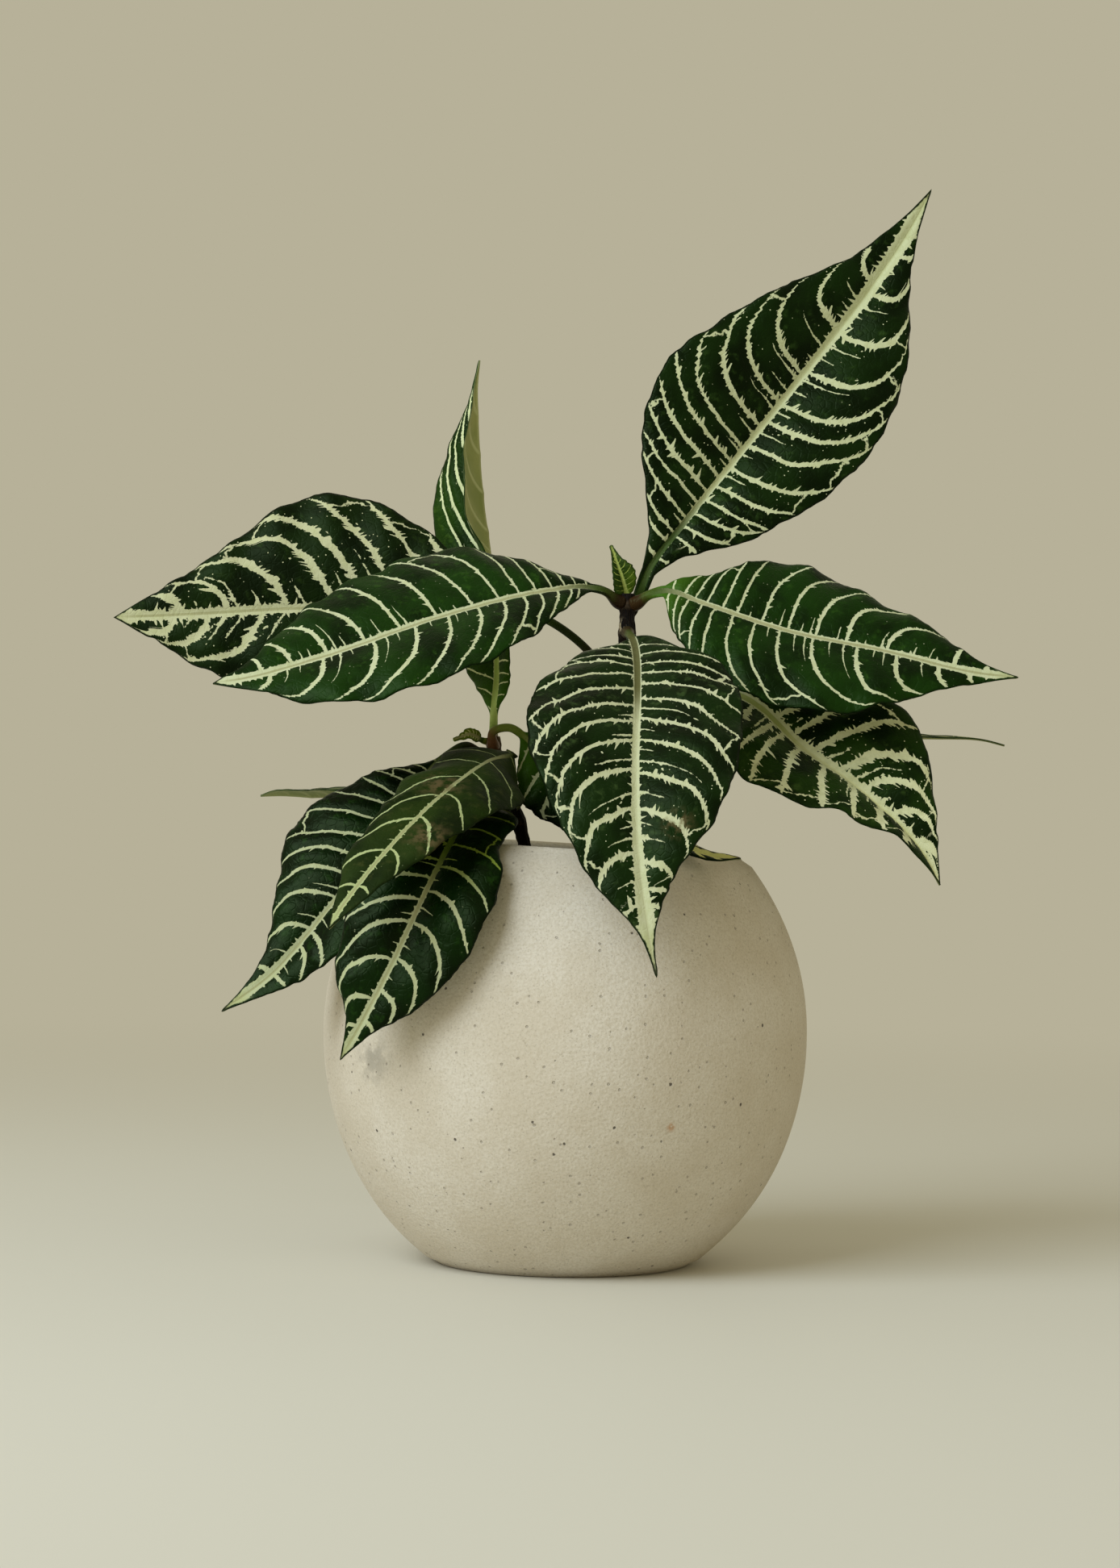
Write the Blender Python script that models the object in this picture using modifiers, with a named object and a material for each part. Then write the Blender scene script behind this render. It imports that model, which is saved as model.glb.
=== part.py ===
"""Potted aphelandra: a round stoneware pot, its soil, two stems and sixteen leaves.

Metres, +Z up. The origin is the middle of the pot's flat base, the pot stands on z = 0, and the plant's
front is towards -Y. Leaf measures below are in millimetres.
"""

import math

import bmesh
import bpy
import numpy as np
from mathutils import Vector

MM = 0.001
GAP = 0.3 * MM

POT_RADIUS = 105.0 * MM
POT_HALF_HEIGHT = 116.0 * MM
POT_MIDDLE_HEIGHT = 98.0 * MM
POT_HEIGHT = 177.5 * MM
POT_WALL = 9.0 * MM
POT_FLOOR = 12.0 * MM
POT_EDGE_ROUND = 3.0 * MM
MOUTH_SLOPE = 0.049
MOUTH_RISE = 2.8 * MM
MOUTH_SLOPE_FROM = 120.0 * MM
POT_SIDES = 40
POT_ROWS = 10

SOIL_BELOW_RIM = 22.0 * MM
SOIL_MOUND = 3.0 * MM
SOIL_WALL_GAP = 1.0 * MM
SOIL_ROWS = 6
HOLE_CLEARANCE = 0.45
TUBE_STEPS = 4

PETIOLE_RADIUS = 1.8
BLADE_THICKNESS = 1.0
MIDRIB_DEPTH = 1.3
LEAF_GAP = 0.3
NECK_LENGTH = 3.0
TIP_HALF_WIDTH = 0.5
BLADE_ARCH = 0.07
COLUMNS = (1.0, 0.68, 0.34, 0.0, -0.34, -0.68, -1.0)

# Each stem: points up its axis, and its radius at each of them.
STEMS = {
    "stem_main": {
        "points": ((10, 6, 127), (15, 4, 160), (20, 1, 215), (23, 0, 250), (24.5, 0, 275), (24.5, 0, 290)),
        "radii": (4.0, 3.8, 3.4, 3.3, 3.2, 3.0),
    },
    "stem_side": {
        "points": ((-12, 0, 127), (-15, 0, 160), (-20, 0, 185), (-27, 0, 207), (-32, 0, 219), (-33, 0, 227)),
        "radii": (2.8, 2.7, 2.6, 2.6, 2.8, 2.6),
    },
}

# Each leaf leaves its stem at "height", in the compass direction "heading" (degrees from +X, anticlockwise
# seen from above). "spine" is its midrib from there to the tip. The blade begins at "blade_from", a share of
# the midrib. "left" and "right" are half widths at tenths of the blade, for a viewer in front who looks from
# base to tip. "turn" is how far each half turns towards that viewer at base, middle and tip, in degrees.
# "wave" is the height of the margin's waves and their number.
LEAVES = {
    "leaf_upper_right": {
        "stem": "stem_main", "height": 283, "heading": 60, "blade_from": 0.05,
        "spine": ((35, 13, 303), (49, 20, 322), (77, 32, 358), (104, 42, 393), (134, 51, 433), (154, 57, 465),
                  (160, 59, 477)),
        "left": (9, 32, 48, 52, 46, 38, 27, 15, 7), "right": (9, 26, 37, 44, 46, 42, 32, 16, 5),
        "turn_left": (8, 15, 8), "turn_right": (8, 12, 8), "wave": (1.3, 7),
    },
    "leaf_right": {
        "stem": "stem_main", "height": 285.5, "heading": -10, "blade_from": 0.08,
        "spine": ((33, -3, 289), (41, -7, 291), (56, -12, 286), (93, -17, 274), (133, -22, 266),
                  (178, -28, 256), (191, -29, 255)),
        "left": (17, 31, 40, 41, 36, 29, 23, 15, 6), "right": (19, 34, 39, 41, 40, 36, 26, 14, 5),
        "turn_left": (-32, -42, -30), "turn_right": (30, 38, 30), "wave": (1.3, 6),
    },
    "leaf_left": {
        "stem": "stem_main", "height": 286, "heading": 185, "blade_from": 0.07,
        "spine": ((16, -4, 290), (7, -10, 292), (-8, -20, 290), (-55, -40, 277), (-103, -55, 259),
                  (-137, -62, 249), (-149, -63, 247)),
        "left": (9, 20, 30, 36, 39, 38, 33, 24, 9), "right": (13, 32, 44, 46, 45, 42, 34, 23, 10),
        "turn_left": (44, 48, 38), "turn_right": (-44, -48, -36), "wave": (1.3, 7),
    },
    "leaf_front": {
        "stem": "stem_main", "height": 273, "heading": -85, "blade_from": 0.07,
        "spine": ((27, -24, 268), (28, -42, 260), (28, -66, 243), (27, -98, 212), (28, -115, 181),
                  (32, -123, 151), (36, -126, 130)),
        "left": (19, 37, 43, 44, 43, 38, 28, 14, 4), "right": (23, 33, 42, 46, 44, 37, 28, 19, 5),
        "turn_left": (4, 8, 5), "turn_right": (4, 8, 5), "wave": (1.5, 7),
    },
    "leaf_far_left": {
        "stem": "stem_main", "height": 249, "heading": 150, "blade_from": 0.2,
        "spine": ((14, 7, 258), (5, 9, 268), (-13, 11, 280), (-59, 12, 284), (-124, 11, 282), (-165, 8, 279),
                  (-199, 5, 277)),
        "left": (12, 22, 31, 37, 41, 40, 34, 25, 12), "right": (12, 22, 37, 48, 52, 47, 34, 22, 11),
        "turn_left": (6, 10, 5), "turn_right": (-10, -12, -8), "wave": (1.6, 8),
    },
    "leaf_low_right": {
        "stem": "stem_main", "height": 246, "heading": 15, "blade_from": 0.13,
        "spine": ((36, 4, 250), (45, 5, 252), (59, 2, 251), (78, -4, 244), (99, -13, 225), (125, -20, 206),
                  (151, -26, 180), (159, -28, 166)),
        "left": (10, 18, 28, 34, 39, 42, 34, 21, 8), "right": (15, 27, 32, 37, 36, 31, 24, 15, 8),
        "turn_left": (-50, -20, -8), "turn_right": (20, 50, 76), "wave": (1.5, 6),
    },
    "leaf_back_right": {
        "stem": "stem_main", "height": 224, "heading": 40, "blade_from": 0.2,
        "spine": ((36, 10, 226), (51, 20, 229), (88, 34, 231), (124, 44, 231), (161, 52, 230), (188, 57, 229),
                  (196, 58, 227)),
        "left": (8, 14, 18, 19, 18, 15, 11, 6, 2), "right": (8, 14, 18, 19, 18, 15, 11, 6, 2),
        "turn_left": (-80, -84, -84), "turn_right": (80, 88, 88), "wave": (0.6, 4),
    },
    "leaf_rim_right": {
        "stem": "stem_main", "height": 236, "heading": -80, "blade_from": 0.3,
        "spine": ((27, -15, 231), (33, -32, 216), (40, -46, 198), (49, -56, 182), (60, -62, 177.5),
                  (72, -65, 177)),
        "left": (4, 7, 9, 10, 10, 9, 7, 5, 2), "right": (4, 7, 9, 10, 10, 9, 7, 5, 2),
        "turn_left": (-30, -60, -72), "turn_right": (30, 60, 76), "wave": (0.5, 3),
    },
    "leaf_upright": {
        "stem": "stem_side", "height": 225, "heading": 95, "blade_from": 0.06,
        "spine": ((-33, 8, 232), (-33, 15, 240), (-32, 28, 254), (-33, 42, 276), (-36, 51, 305),
                  (-40, 55, 333), (-43, 57, 370), (-42.5, 57, 397)),
        "left": (7, 15, 21, 24, 26, 26, 22, 14, 5), "right": (6, 9, 14, 20, 24, 25, 22, 14, 5),
        "turn_left": (-15, -22, -20), "turn_right": (10, 100, 114), "wave": (1.0, 5),
    },
    "leaf_side_front": {
        "stem": "stem_side", "height": 217.5, "heading": -50, "blade_from": 0.07,
        "spine": ((-25, -16, 219), (-33, -42, 217), (-43, -66, 210), (-62, -98, 192), (-78, -117, 173),
                  (-91, -129, 155), (-95, -132, 148)),
        "left": (22, 24, 25, 24, 22, 20, 17, 12, 7), "right": (20, 24, 25, 27, 23, 20, 18, 15, 7),
        "turn_left": (0, 30, 40), "turn_right": (-78, -50, -35), "wave": (1.0, 5),
    },
    "leaf_side_low": {
        "stem": "stem_side", "height": 210, "heading": -110, "blade_from": 0.16,
        "spine": ((-34, -30, 206), (-41, -54, 196), (-47, -72, 185), (-58, -92, 162), (-70, -98, 135),
                  (-82, -98, 111), (-92, -95, 93)),
        "left": (14, 23, 20, 27, 30, 29, 25, 17, 6), "right": (12, 18, 23, 26, 27, 28, 26, 21, 7),
        "turn_left": (24, 24, 12), "turn_right": (-15, -20, -12), "wave": (1.2, 6),
    },
    "leaf_side_left": {
        "stem": "stem_side", "height": 219, "heading": 200, "blade_from": 0.14,
        "spine": ((-44, -6, 223), (-52, -14, 219), (-62, -24, 209), (-86, -44, 173), (-105, -52, 147),
                  (-123, -56, 126), (-144, -58, 110)),
        "left": (14, 20, 26, 29, 28, 26, 20, 12, 5), "right": (9, 24, 34, 38, 36, 28, 19, 10, 4),
        "turn_left": (40, 45, 30), "turn_right": (-20, -25, -15), "wave": (1.2, 6),
    },
    "leaf_side_right": {
        "stem": "stem_side", "height": 223, "heading": -100, "blade_from": 0.25,
        "spine": ((-33, -7, 229), (-26, -9, 231), (-18, -10, 226), (-5, -13, 211), (5, -16, 193),
                  (14, -18, 179)),
        "left": (7, 13, 17, 20, 20, 17, 12, 8, 3), "right": (7, 13, 17, 20, 20, 17, 12, 8, 3),
        "turn_left": (-10, -15, -10), "turn_right": (10, 15, 10), "wave": (0.8, 4),
    },
    "leaf_side_back": {
        "stem": "stem_side", "height": 211, "heading": 110, "blade_from": 0.3,
        "spine": ((-48, 20, 213), (-70, 42, 205), (-92, 58, 202), (-115, 70, 200), (-130, 76, 200.5),
                  (-140, 79, 200)),
        "left": (8, 14, 18, 19, 18, 15, 11, 6, 2), "right": (8, 14, 18, 19, 18, 15, 11, 6, 2),
        "turn_left": (72, 70, 74), "turn_right": (-90, -90, -88), "wave": (0.6, 4),
    },
    "young_leaf_top": {
        "stem": "stem_main", "height": 290, "heading": None, "blade_from": 0.1,
        "spine": ((23, -2, 297), (20, -2, 304), (17, 0, 311)),
        "left": (3, 5, 6, 6, 5, 4, 3, 2, 1), "right": (3, 5, 6, 6, 5, 4, 3, 2, 1),
        "turn_left": (20, 25, 20), "turn_right": (20, 25, 20), "wave": (0.3, 3), "petiole": 1.0,
    },
    "young_leaf_side": {
        "stem": "stem_side", "height": 225, "heading": 175, "blade_from": 0.2,
        "spine": ((-40, -2, 227), (-43, -4, 228), (-46, -6, 227), (-50, -8, 225.5)),
        "left": (2, 3, 3, 3, 3, 2, 2, 1, 1), "right": (2, 3, 3, 3, 3, 2, 2, 1, 1),
        "turn_left": (40, 40, 30), "turn_right": (-20, -20, -20), "wave": (0.3, 3), "petiole": 1.0,
    },
}
LARGE_LEAF_ROWS = 18
SMALL_LEAVES = ("leaf_back_right", "leaf_rim_right", "leaf_side_right", "leaf_side_back",
                "young_leaf_top", "young_leaf_side")
SMALL_LEAF_ROWS = 10
PETIOLE_ROWS = 4


def clear_scene():
    for thing in list(bpy.data.objects):
        bpy.data.objects.remove(thing)


def collection(name):
    made = bpy.data.collections.new(name)
    bpy.context.scene.collection.children.link(made)
    return made


def material(name, colour, roughness):
    made = bpy.data.materials.new(name)
    made.use_nodes = True
    shader = made.node_tree.nodes["Principled BSDF"]
    shader.inputs["Base Color"].default_value = (*colour, 1.0)
    shader.inputs["Roughness"].default_value = roughness
    shader.inputs["Metallic"].default_value = 0.0
    return made


def pale_stoneware():
    return material("pale_stoneware", (0.56, 0.52, 0.43), 0.8)


def potting_soil():
    return material("potting_soil", (0.035, 0.024, 0.016), 0.95)


def brown_stem():
    return material("brown_stem", (0.05, 0.032, 0.02), 0.6)


def dark_leaf():
    return material("dark_leaf", (0.02, 0.07, 0.02), 0.3)


def young_leaf():
    return material("young_leaf", (0.14, 0.24, 0.05), 0.4)


def place(name, mesh, into, look):
    made = bpy.data.objects.new(name, mesh)
    made.data.materials.append(look)
    into.objects.link(made)
    return made


def bulge_radius(height):
    """Radius of the pot's outer face at a height."""
    rise = (height - POT_MIDDLE_HEIGHT) / POT_HALF_HEIGHT
    return POT_RADIUS * math.sqrt(1.0 - rise * rise)


def hollow_radius(height):
    """Radius of the pot's inner face at a height."""
    rise = (height - POT_MIDDLE_HEIGHT) / (POT_HALF_HEIGHT - POT_WALL)
    return (POT_RADIUS - POT_WALL) * math.sqrt(max(0.0, 1.0 - rise * rise))


def arc(centre, radius, first, last, steps):
    """Points of an arc in the profile's plane, angles in degrees from +X."""
    points = []
    for step in range(steps + 1):
        angle = math.radians(first + (last - first) * step / steps)
        points.append((centre[0] + radius * math.cos(angle), centre[1] + radius * math.sin(angle)))
    return points


def turned(name, profile, into, look, sides):
    """A closed turned solid from a profile of (radius, height) that starts and ends on the axis."""
    mesh = bpy.data.meshes.new(name)
    work = bmesh.new()
    corners = [work.verts.new((radius, 0.0, height)) for radius, height in profile]
    for first, second in zip(corners, corners[1:]):
        work.edges.new((first, second))
    work.to_mesh(mesh)
    work.free()
    made = place(name, mesh, into, look)
    screw = made.modifiers.new("turn", "SCREW")
    screw.axis = "Z"
    screw.angle = math.tau
    screw.steps = sides
    screw.render_steps = sides
    screw.use_merge_vertices = True
    screw.merge_threshold = 0.00001
    screw.use_smooth_shade = True
    return made


def make_pot(into):
    """A sphere-like bowl, cut flat at the base and at its mouth, with slightly rounded edges."""
    rounding = POT_EDGE_ROUND
    mouth = bulge_radius(POT_HEIGHT)
    foot = bulge_radius(0.0)
    profile = [(0.0, POT_FLOOR)]
    low = POT_FLOOR + rounding
    heights = [low + (POT_HEIGHT - rounding - low) * row / POT_ROWS for row in range(POT_ROWS + 1)]
    profile.append((hollow_radius(low) - rounding, POT_FLOOR))
    profile += [(hollow_radius(height), height) for height in heights]
    lip = (mouth - rounding * 1.2, POT_HEIGHT - rounding)
    inner = hollow_radius(POT_HEIGHT - rounding)
    profile.append((inner + rounding * 0.3, POT_HEIGHT - rounding * 0.3))
    profile.append((inner + rounding, POT_HEIGHT))
    profile += arc(lip, rounding, 90.0, 20.0, 3)
    top = POT_HEIGHT - rounding * 1.6
    bottom = rounding
    profile += [(bulge_radius(top + (bottom - top) * row / POT_ROWS), top + (bottom - top) * row / POT_ROWS)
                for row in range(POT_ROWS + 1)]
    profile.append((foot - rounding * 0.2, 0.8 * MM))
    profile.append((foot - rounding, 0.0))
    profile.append((0.0, 0.0))
    pot = turned("pot", profile, into, pale_stoneware(), POT_SIDES)
    return slope_mouth(pot)


def slope_mouth(pot):
    """The pot's mouth is slightly higher at -X than at +X, as on the hand-made one."""
    bpy.context.view_layer.update()
    evaluated = pot.evaluated_get(bpy.context.evaluated_depsgraph_get())
    mesh = bpy.data.meshes.new_from_object(evaluated)
    for corner in mesh.vertices:
        share = max(0.0, (corner.co.z - MOUTH_SLOPE_FROM) / (POT_HEIGHT - MOUTH_SLOPE_FROM))
        corner.co.z += (MOUTH_RISE - MOUTH_SLOPE * corner.co.x) * share * share
    pot.modifiers.clear()
    pot.data = mesh
    return pot


def make_soil(into):
    """Soil that fills the pot to a little below its rim and rests on its floor, a GAP above it."""
    low = POT_FLOOR + POT_EDGE_ROUND
    high = POT_HEIGHT - SOIL_BELOW_RIM
    heights = [high + (low - high) * row / SOIL_ROWS for row in range(SOIL_ROWS + 1)]
    profile = [(0.0, high + SOIL_MOUND), (hollow_radius(high) * 0.6, high + SOIL_MOUND * 0.7)]
    profile += [(hollow_radius(height) - SOIL_WALL_GAP, height) for height in heights]
    profile.append((hollow_radius(low) - POT_EDGE_ROUND - GAP, POT_FLOOR + GAP))
    profile.append((0.0, POT_FLOOR + GAP))
    return turned("soil", profile, into, potting_soil(), POT_SIDES)


def tube(name, points, radii, into, look):
    """A round tube through points in millimetres, closed at both ends, as a mesh object."""
    data = bpy.data.curves.new(name, "CURVE")
    data.dimensions = "3D"
    data.bevel_depth = MM
    data.bevel_resolution = 2
    data.use_fill_caps = True
    spline = data.splines.new("POLY")
    path = smooth_path(points, TUBE_STEPS)
    spline.points.add(len(path) - 1)
    for place_on, (point, corner) in enumerate(zip(path, spline.points)):
        corner.co = (*(point * MM), 1.0)
        corner.radius = read(radii, place_on / (len(path) - 1))
    curve = bpy.data.objects.new(name, data)
    into.objects.link(curve)
    bpy.context.view_layer.update()
    evaluated = curve.evaluated_get(bpy.context.evaluated_depsgraph_get())
    mesh = bpy.data.meshes.new_from_object(evaluated)
    work = bmesh.new()
    work.from_mesh(mesh)
    bmesh.ops.remove_doubles(work, verts=work.verts, dist=0.00001)
    work.to_mesh(mesh)
    work.free()
    bpy.data.objects.remove(curve)
    mesh.name = name
    mesh.materials.clear()
    made = place(name, mesh, into, look)
    made.data.shade_smooth()
    made.data.set_sharp_from_angle(angle=math.radians(50))
    return made


def read(values, share):
    """A value at a share from 0 to 1 along evenly spaced ones, joined by a smooth curve."""
    row = np.asarray(values, float)
    place_on = min(max(share, 0.0), 1.0) * (len(row) - 1)
    first = min(int(place_on), len(row) - 2)
    along = place_on - first
    before = row[first - 1] if first > 0 else 2.0 * row[0] - row[1]
    after = row[first + 2] if first + 2 < len(row) else 2.0 * row[-1] - row[-2]
    start, end = row[first], row[first + 1]
    return 0.5 * (2.0 * start + (end - before) * along
                  + (2.0 * before - 5.0 * start + 4.0 * end - after) * along ** 2
                  + (3.0 * start - before - 3.0 * end + after) * along ** 3)


def smooth_path(points, steps):
    """A smooth curve through the points, with a number of steps between each two."""
    corners = np.asarray(points, float)
    spans = np.linalg.norm(np.diff(corners, axis=0), axis=1)
    slopes = np.gradient(corners, np.concatenate([[0.0], np.cumsum(spans)]), axis=0)
    path = [corners[0]]
    for first, span in enumerate(spans):
        for step in range(1, steps + 1):
            along = step / steps
            start = corners[first] * (2.0 * along ** 3 - 3.0 * along ** 2 + 1.0)
            end = corners[first + 1] * (3.0 * along ** 2 - 2.0 * along ** 3)
            leaving = slopes[first] * span * (along ** 3 - 2.0 * along ** 2 + along)
            arriving = slopes[first + 1] * span * (along ** 3 - along ** 2)
            path.append(start + end + leaving + arriving)
    return np.array(path)


def stem_at(name, height):
    """A stem's axis point, radius and direction at a height, in millimetres."""
    path = smooth_path(STEMS[name]["points"], 12)
    radii = [read(STEMS[name]["radii"], step / (len(path) - 1)) for step in range(len(path))]
    low, point, high = (np.array([np.interp(height + step, path[:, 2], path[:, axis]) for axis in range(3)])
                        for step in (-1.0, 0.0, 1.0))
    return point, float(np.interp(height, path[:, 2], radii)), unit(high - low)


def leaf_path(leaf):
    """The midrib from the stem's skin to the tip, finely divided, with its running length."""
    axis, radius, upward = stem_at(leaf["stem"], leaf["height"])
    if leaf["heading"] is None:
        outward = upward
        root = axis + outward * LEAF_GAP
    else:
        heading = math.radians(leaf["heading"])
        level = np.array([math.cos(heading), math.sin(heading), 0.0])
        outward = unit(level - upward * np.dot(level, upward))
        root = axis + outward * (radius + LEAF_GAP)
    neck = root + outward * NECK_LENGTH
    path = smooth_path([tuple(root), tuple(neck), *leaf["spine"]], 16)
    lengths = np.linalg.norm(np.diff(path, axis=0), axis=1)
    return path, np.concatenate([[0.0], np.cumsum(lengths)])


def unit(vector):
    return vector / np.linalg.norm(vector)


def leaf_row(leaf, path, run, share):
    """Centre, direction, half widths and the two halves' outward directions at a share of the midrib."""
    length = share * run[-1]
    step = min(run[-1] * 0.02, length + 1.0)
    centre = np.array([np.interp(length, run, path[:, axis]) for axis in range(3)])
    ahead = np.array([np.interp(length + step, run, path[:, axis]) for axis in range(3)])
    behind = np.array([np.interp(length - step, run, path[:, axis]) for axis in range(3)])
    along = unit(ahead - behind)
    across = unit(np.array([-along[2], 0.0, along[0]]))
    nearer = unit(np.cross(along, across))
    blade = (share - leaf["blade_from"]) / (1.0 - leaf["blade_from"])
    sides = []
    for side, sign in (("left", 1.0), ("right", -1.0)):
        width = read((0.0, *leaf[side], 0.0), blade) if blade > 0.0 else 0.0
        turn = math.radians(read(leaf["turn_" + side], blade))
        outward = across * sign * math.cos(turn) + nearer * math.sin(turn)
        upward = np.cross(along, outward) * sign
        sides.append((max(width, TIP_HALF_WIDTH), outward, upward))
    return centre, along, blade, sides


def leaf_rings(leaf, rows):
    """Rings of points round the leaf, from root to tip: the upper face's columns, then the lower face's."""
    path, run = leaf_path(leaf)
    start = leaf["blade_from"]
    shares = [start * row / PETIOLE_ROWS for row in range(PETIOLE_ROWS)]
    shares += [start + (1.0 - start) * row / rows for row in range(rows + 1)]
    height, waves = leaf["wave"]
    rings = []
    for share in shares:
        centre, along, blade, sides = leaf_row(leaf, path, run, share)
        middle_up = unit(sides[0][2] + sides[1][2])
        middle_out = np.cross(middle_up, along)
        leafy = min(max(blade / 0.1, 0.0), 1.0)
        leafy = leafy * leafy * (3.0 - 2.0 * leafy)
        upper = []
        lower = []
        for column in COLUMNS:
            width, outward, upward = sides[0] if column >= 0.0 else sides[1]
            reach = abs(column)
            lift = BLADE_ARCH * width * math.sin(math.pi * reach)
            phase = math.tau * waves * blade + (0.0 if column >= 0.0 else 2.0)
            lift += height * math.sin(phase) * reach ** 2 * min(width / 20.0, 1.0)
            face = centre + outward * width * reach + upward * lift
            up = upward if column else middle_up
            thick = BLADE_THICKNESS / 2.0
            below = thick + (MIDRIB_DEPTH * (1.0 - 0.8 * max(blade, 0.0)) if column == 0.0 else 0.0)
            angle = math.pi / 2.0 * (1.0 - 0.88 * column)
            spread = np.array([math.cos(angle), math.sin(angle)]) * leaf.get("petiole", PETIOLE_RADIUS)
            round_top = centre + middle_out * spread[0] + middle_up * spread[1]
            round_low = centre + middle_out * spread[0] - middle_up * spread[1]
            upper.append(round_top + (face + up * thick - round_top) * leafy)
            lower.append(round_low + (face - up * below - round_low) * leafy)
        rings.append((upper, lower))
    return rings


def loft(name, rings, into, look):
    """A closed leaf from its rings, with the same triangles on both faces."""
    work = bmesh.new()
    rows = []
    for upper, lower in rings:
        rows.append([[work.verts.new(Vector(point) * MM) for point in line] for line in (upper, lower)])
    last = len(COLUMNS) - 1
    for (top, low), (next_top, next_low) in zip(rows, rows[1:]):
        for column in range(last):
            work.faces.new((top[column], next_top[column], top[column + 1]))
            work.faces.new((next_top[column], next_top[column + 1], top[column + 1]))
            work.faces.new((low[column], low[column + 1], next_low[column]))
            work.faces.new((next_low[column], low[column + 1], next_low[column + 1]))
        for edge in (0, last):
            work.faces.new((top[edge], next_top[edge], next_low[edge]))
            work.faces.new((top[edge], next_low[edge], low[edge]))
    for top, low in (rows[0], rows[-1]):
        for column in range(last):
            work.faces.new((top[column], top[column + 1], low[column]))
            work.faces.new((top[column + 1], low[column + 1], low[column]))
    bmesh.ops.recalc_face_normals(work, faces=work.faces)
    mesh = bpy.data.meshes.new(name)
    work.to_mesh(mesh)
    work.free()
    made = place(name, mesh, into, look)
    made.data.shade_smooth()
    made.data.set_sharp_from_angle(angle=math.radians(60))
    return made


def drill(body, cutters):
    """Cut the plain holes that the stems stand in."""
    for cutter in cutters:
        cutter.hide_render = True
        cutter.display_type = "WIRE"
        cut = body.modifiers.new("hole_" + cutter.name, "BOOLEAN")
        cut.operation = "DIFFERENCE"
        cut.object = cutter


def make_plant(into, hidden, soil):
    stem_look = brown_stem()
    cutters = []
    for name, stem in STEMS.items():
        tube(name, stem["points"], stem["radii"], into, stem_look)
        first, second = (np.array(point, float) for point in stem["points"][:2])
        below = first - unit(second - first) * LEAF_GAP
        above = second + 0.5 * (second - first)
        radius = stem["radii"][0] + HOLE_CLEARANCE
        hole = (tuple(below), tuple(second), tuple(above))
        cutters.append(tube(name + "_hole", hole, (radius,) * 3, hidden, stem_look))
    drill(soil, cutters)
    leaf_look = dark_leaf()
    for name, leaf in LEAVES.items():
        rows = SMALL_LEAF_ROWS if name in SMALL_LEAVES else LARGE_LEAF_ROWS
        loft(name, leaf_rings(leaf, rows), into, leaf_look)


def main():
    clear_scene()
    parts = collection("potted_aphelandra")
    cutters = collection("cutters")
    make_pot(parts)
    soil = make_soil(parts)
    make_plant(parts, cutters, soil)


main()
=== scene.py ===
"""Potted aphelandra: a round stoneware pot of soil, two stems and sixteen white-veined leaves."""

import math
from collections import namedtuple

import bmesh
import bpy
import numpy as np
from mathutils import Matrix, Vector, noise


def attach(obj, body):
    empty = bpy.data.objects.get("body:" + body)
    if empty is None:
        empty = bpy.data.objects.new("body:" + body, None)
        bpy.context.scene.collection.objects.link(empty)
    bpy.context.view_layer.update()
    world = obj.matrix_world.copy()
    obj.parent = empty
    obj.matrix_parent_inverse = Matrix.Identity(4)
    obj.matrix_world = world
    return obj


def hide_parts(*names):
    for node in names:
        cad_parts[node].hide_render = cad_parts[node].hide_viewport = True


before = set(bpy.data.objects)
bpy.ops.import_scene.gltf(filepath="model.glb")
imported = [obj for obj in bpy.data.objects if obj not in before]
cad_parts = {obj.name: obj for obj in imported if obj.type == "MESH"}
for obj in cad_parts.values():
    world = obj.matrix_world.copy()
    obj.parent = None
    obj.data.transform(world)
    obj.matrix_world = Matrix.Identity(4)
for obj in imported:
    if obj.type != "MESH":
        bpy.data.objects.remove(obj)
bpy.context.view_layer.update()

# Camera. It stands level in front of the plant with a long lens, as solved from the photo, and is a little
# turned about its own line of sight.
CAMERA_PLACE = (-0.0037, -1.596, 0.207)
CAMERA_TURN = 0.75
CAMERA_LENS = 84.4


def added(name, data):
    """A new object of the scene that shows the data."""
    made = bpy.data.objects.new(name, data)
    bpy.context.scene.collection.objects.link(made)
    return made


camera = added("camera", bpy.data.cameras.new("camera"))
camera.data.lens = CAMERA_LENS
camera.data.clip_end = 50.0
level = Matrix.Rotation(math.radians(90.0), 4, "X")
turn = Matrix.Rotation(math.radians(CAMERA_TURN), 4, "Z")
camera.matrix_world = Matrix.Translation(CAMERA_PLACE) @ level @ turn
bpy.context.scene.camera = camera

# Floor and light. A plain pale floor, whose far part has the backdrop's own colour, so that no edge shows.
# A large soft light stands at the left in front, as from a window, and the backdrop fills the shadows.
MM = 0.001
BACKDROP = (183, 177, 153)
FLOOR_COLOUR = (214, 210, 196)
FLOOR_RADIUS = 12.0
FLOOR_NEAR = 0.3
FLOOR_FAR = 1.7
LAMP_PLACE = Vector((-1.3, -1.3, 1.45))
LAMP_AIM = Vector((0.0, 0.0, 0.2))
LAMP_SIZE = 1.6
LAMP_POWER = 44.5
LAMP_COLOUR = (0.83, 0.94, 1.06)


def tint(red, green, blue):
    """A colour as it looks on a screen, 0 to 255 each, as the shader needs it."""
    return tuple((value / 255.0 / 12.92) if value <= 10 else ((value / 255.0 + 0.055) / 1.055) ** 2.4
                 for value in (red, green, blue))


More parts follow.
